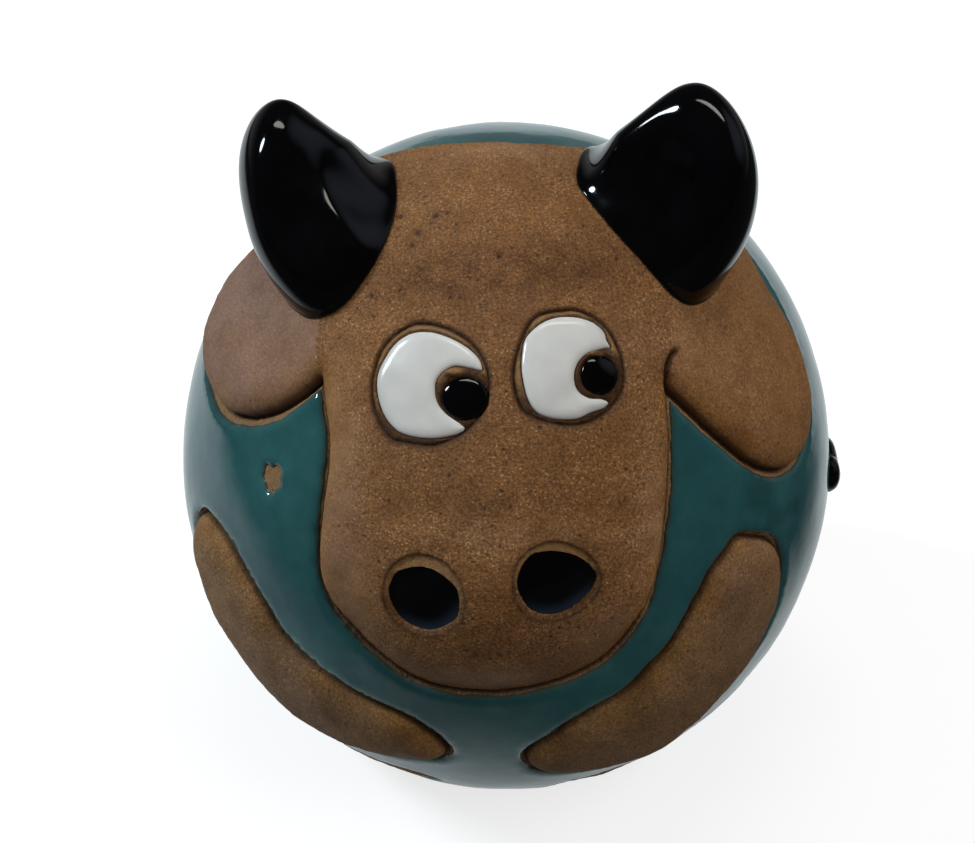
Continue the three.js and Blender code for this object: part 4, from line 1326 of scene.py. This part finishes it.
# The floor is white to the camera. In the glaze it shows a lit sheet that fades out in front of the cow.
sheet = {
    "front": -0.047, "middle": -0.02, "spread": 0.68, "curl": 1.15, "right": 0.8, "soft": 0.012,
    "softer": 0.4, "half": 4.0, "tint": (0.88, 0.98, 1, 1),
}


def makeFloor():
    material, tree = startMaterial("floor")
    path = addNode(tree, "ShaderNodeLightPath")
    where = objectPlace(tree)
    far = addNode(tree, "ShaderNodeVectorMath", {0: where}, operation="LENGTH").outputs["Value"]
    parts = addNode(tree, "ShaderNodeSeparateXYZ", {"Vector": where})
    aside = mathNode(tree, "DIVIDE", minus(tree, parts.outputs["X"], sheet["middle"]), sheet["spread"])
    aside = plus(tree, aside, times(tree, mathNode(tree, "MAXIMUM", aside), sheet["right"]))
    edge = mathNode(tree, "POWER", mathNode(tree, "ABSOLUTE", aside), 2.0)
    into = minus(tree, parts.outputs["Y"], plus(tree, times(tree, edge, sheet["curl"]), sheet["front"]))
    soft = plus(tree, times(tree, far, sheet["softer"]), sheet["soft"])
    into = mathNode(tree, "DIVIDE", into, soft)

    # A value in front of the sheet's edge that turns into another on the sheet.
    def fade(front, lit):
        return smoothNode(tree, into, -0.6, 0.7, front, lit)

    def paint(colour, glow=None, tint=(1, 1, 1, 1)):
        shader = addNode(tree, "ShaderNodeBsdfDiffuse", {"Color": colour})
        if glow is not None:
            shine = addNode(tree, "ShaderNodeEmission", {"Color": tint, "Strength": glow})
            shader = addNode(tree, "ShaderNodeAddShader", {0: shader.outputs[0], 1: shine.outputs[0]})
        return shader.outputs[0]

    def either(ray, other, seen):
        return addNode(tree, "ShaderNodeMixShader", {0: path.outputs[ray], 1: other, 2: seen}).outputs[0]

    mirrored = paint(fade(0.02, 0.3), fade(0.01, 0.42), sheet["tint"])
    shown = either("Is Glossy Ray", paint(fade(0.1, 0.5)), mirrored)
    shown = either("Is Camera Ray", shown, paint((0.34, 0.34, 0.34, 1), 0.76))
    addNode(tree, "ShaderNodeOutputMaterial", {"Surface": shown})
    half = sheet["half"]
    mesh = bpy.data.meshes.new("floor")
    corners = [(-half, -half, 0), (half, -half, 0), (half, half, 0), (-half, half, 0)]
    mesh.from_pydata(corners, [], [(0, 1, 2, 3)])
    mesh.materials.append(material)
    floor = bpy.data.objects.new("floor", mesh)
    bpy.context.scene.collection.objects.link(floor)


# The room in the glaze: a pale backdrop behind the cow, dark overhead and in front, and one cool patch.
room = {
    "dark": 0.012, "backdrop": 0.2, "from": -0.1, "to": 0.75, "top": 0.5,
    "patch": (110, 36), "wide": 28, "bright": 0.34, "tint": (0.72, 0.8, 1.0),
}


def makeWorld():
    world = bpy.data.worlds.new("studio")
    bpy.context.scene.world = world
    world.use_nodes = True
    tree = world.node_tree
    tree.nodes.clear()
    path = addNode(tree, "ShaderNodeLightPath")
    where = addNode(tree, "ShaderNodeTexCoord").outputs["Generated"]
    parts = addNode(tree, "ShaderNodeSeparateXYZ", {"Vector": where})
    back = smoothNode(tree, parts.outputs["Y"], room["from"], room["to"])
    low = smoothNode(tree, parts.outputs["Z"], -0.05, room["top"], 1.0, 0.0)
    pale = plus(tree, times(tree, times(tree, back, low), room["backdrop"]), room["dark"])
    toPatch = tuple(onBody(room["patch"])[0])
    near = addNode(tree, "ShaderNodeVectorMath", {0: where, 1: toPatch}, operation="DOT_PRODUCT")
    patchEdge = math.cos(math.radians(room["wide"]))
    patch = smoothNode(tree, near.outputs["Value"], patchEdge, 1.0, 0.0, room["bright"])
    shine = mixColour(tree, 1.0, mixColour(tree, patch, (0.0, 0.0, 0.0), room["tint"]), pale, "ADD")
    soft = rampNode(tree, parts.outputs["Z"], [(0.0, (0.24, 0.24, 0.24)), (1.0, (0.24, 0.25, 0.26))])
    soft = mixColour(tree, path.outputs["Is Glossy Ray"], soft, shine)
    seen = mixColour(tree, path.outputs["Is Camera Ray"], soft, (1.0, 1.0, 1.0))
    glow = addNode(tree, "ShaderNodeBackground", {"Color": seen, "Strength": 1.0})
    addNode(tree, "ShaderNodeOutputWorld", {"Surface": glow.outputs[0]})


# Lamps: a bearing from the front and a height in degrees, a distance, a size, the way of its long side,
# and a radiance.
lamps = {
    "window": {
        "turn": -88, "rise": 41, "far": 2400, "size": (680, 460), "along": (0, 0.2, 1), "bright": 50,
        "tint": (0.84, 0.97, 1.07), "shown": True,
    },
    "strip": {
        "turn": 155, "rise": 81, "far": 2000, "size": (1300, 360), "along": (1, -0.1, 0), "bright": 7.2,
        "tint": (1, 0.97, 0.9), "shown": True,
    },
    "side": {
        "turn": 107, "rise": 40, "far": 2400, "size": (900, 900), "along": (0, 0, 1), "bright": 1.2,
        "tint": (0.75, 0.82, 1), "shown": False,
    },
    "fill": {
        "turn": 60, "rise": 42, "far": 2400, "size": (1600, 1600), "along": (0, 0, 1), "bright": 3.3,
        "tint": (1, 1, 1), "shown": False,
    },
}


def addLamp(name, lamp):
    light = bpy.data.lights.new(name, "AREA")
    light.shape = "ELLIPSE"
    light.size, light.size_y = (s * mm for s in lamp["size"])
    light.energy = lamp["bright"] * math.pi ** 2 / 4 * light.size * light.size_y
    light.color = lamp["tint"]
    item = bpy.data.objects.new(name, light)
    aim = Vector(onBody((lamp["turn"], lamp["rise"]))[0])
    along = Vector(lamp["along"])
    along = (along - aim * along.dot(aim)).normalized()
    turned = Matrix((along, aim.cross(along), aim)).transposed()
    item.matrix_world = Matrix.Translation(aim * lamp["far"] * mm + Vector((0, 0, 0.05))) @ turned.to_4x4()
    item.visible_glossy = lamp["shown"]
    bpy.context.scene.collection.objects.link(item)


makeFloor()
makeWorld()
for name, lamp in lamps.items():
    addLamp(name, lamp)
bpy.context.scene.view_settings.view_transform = "Standard"
print("cow: the floor and the light are set")
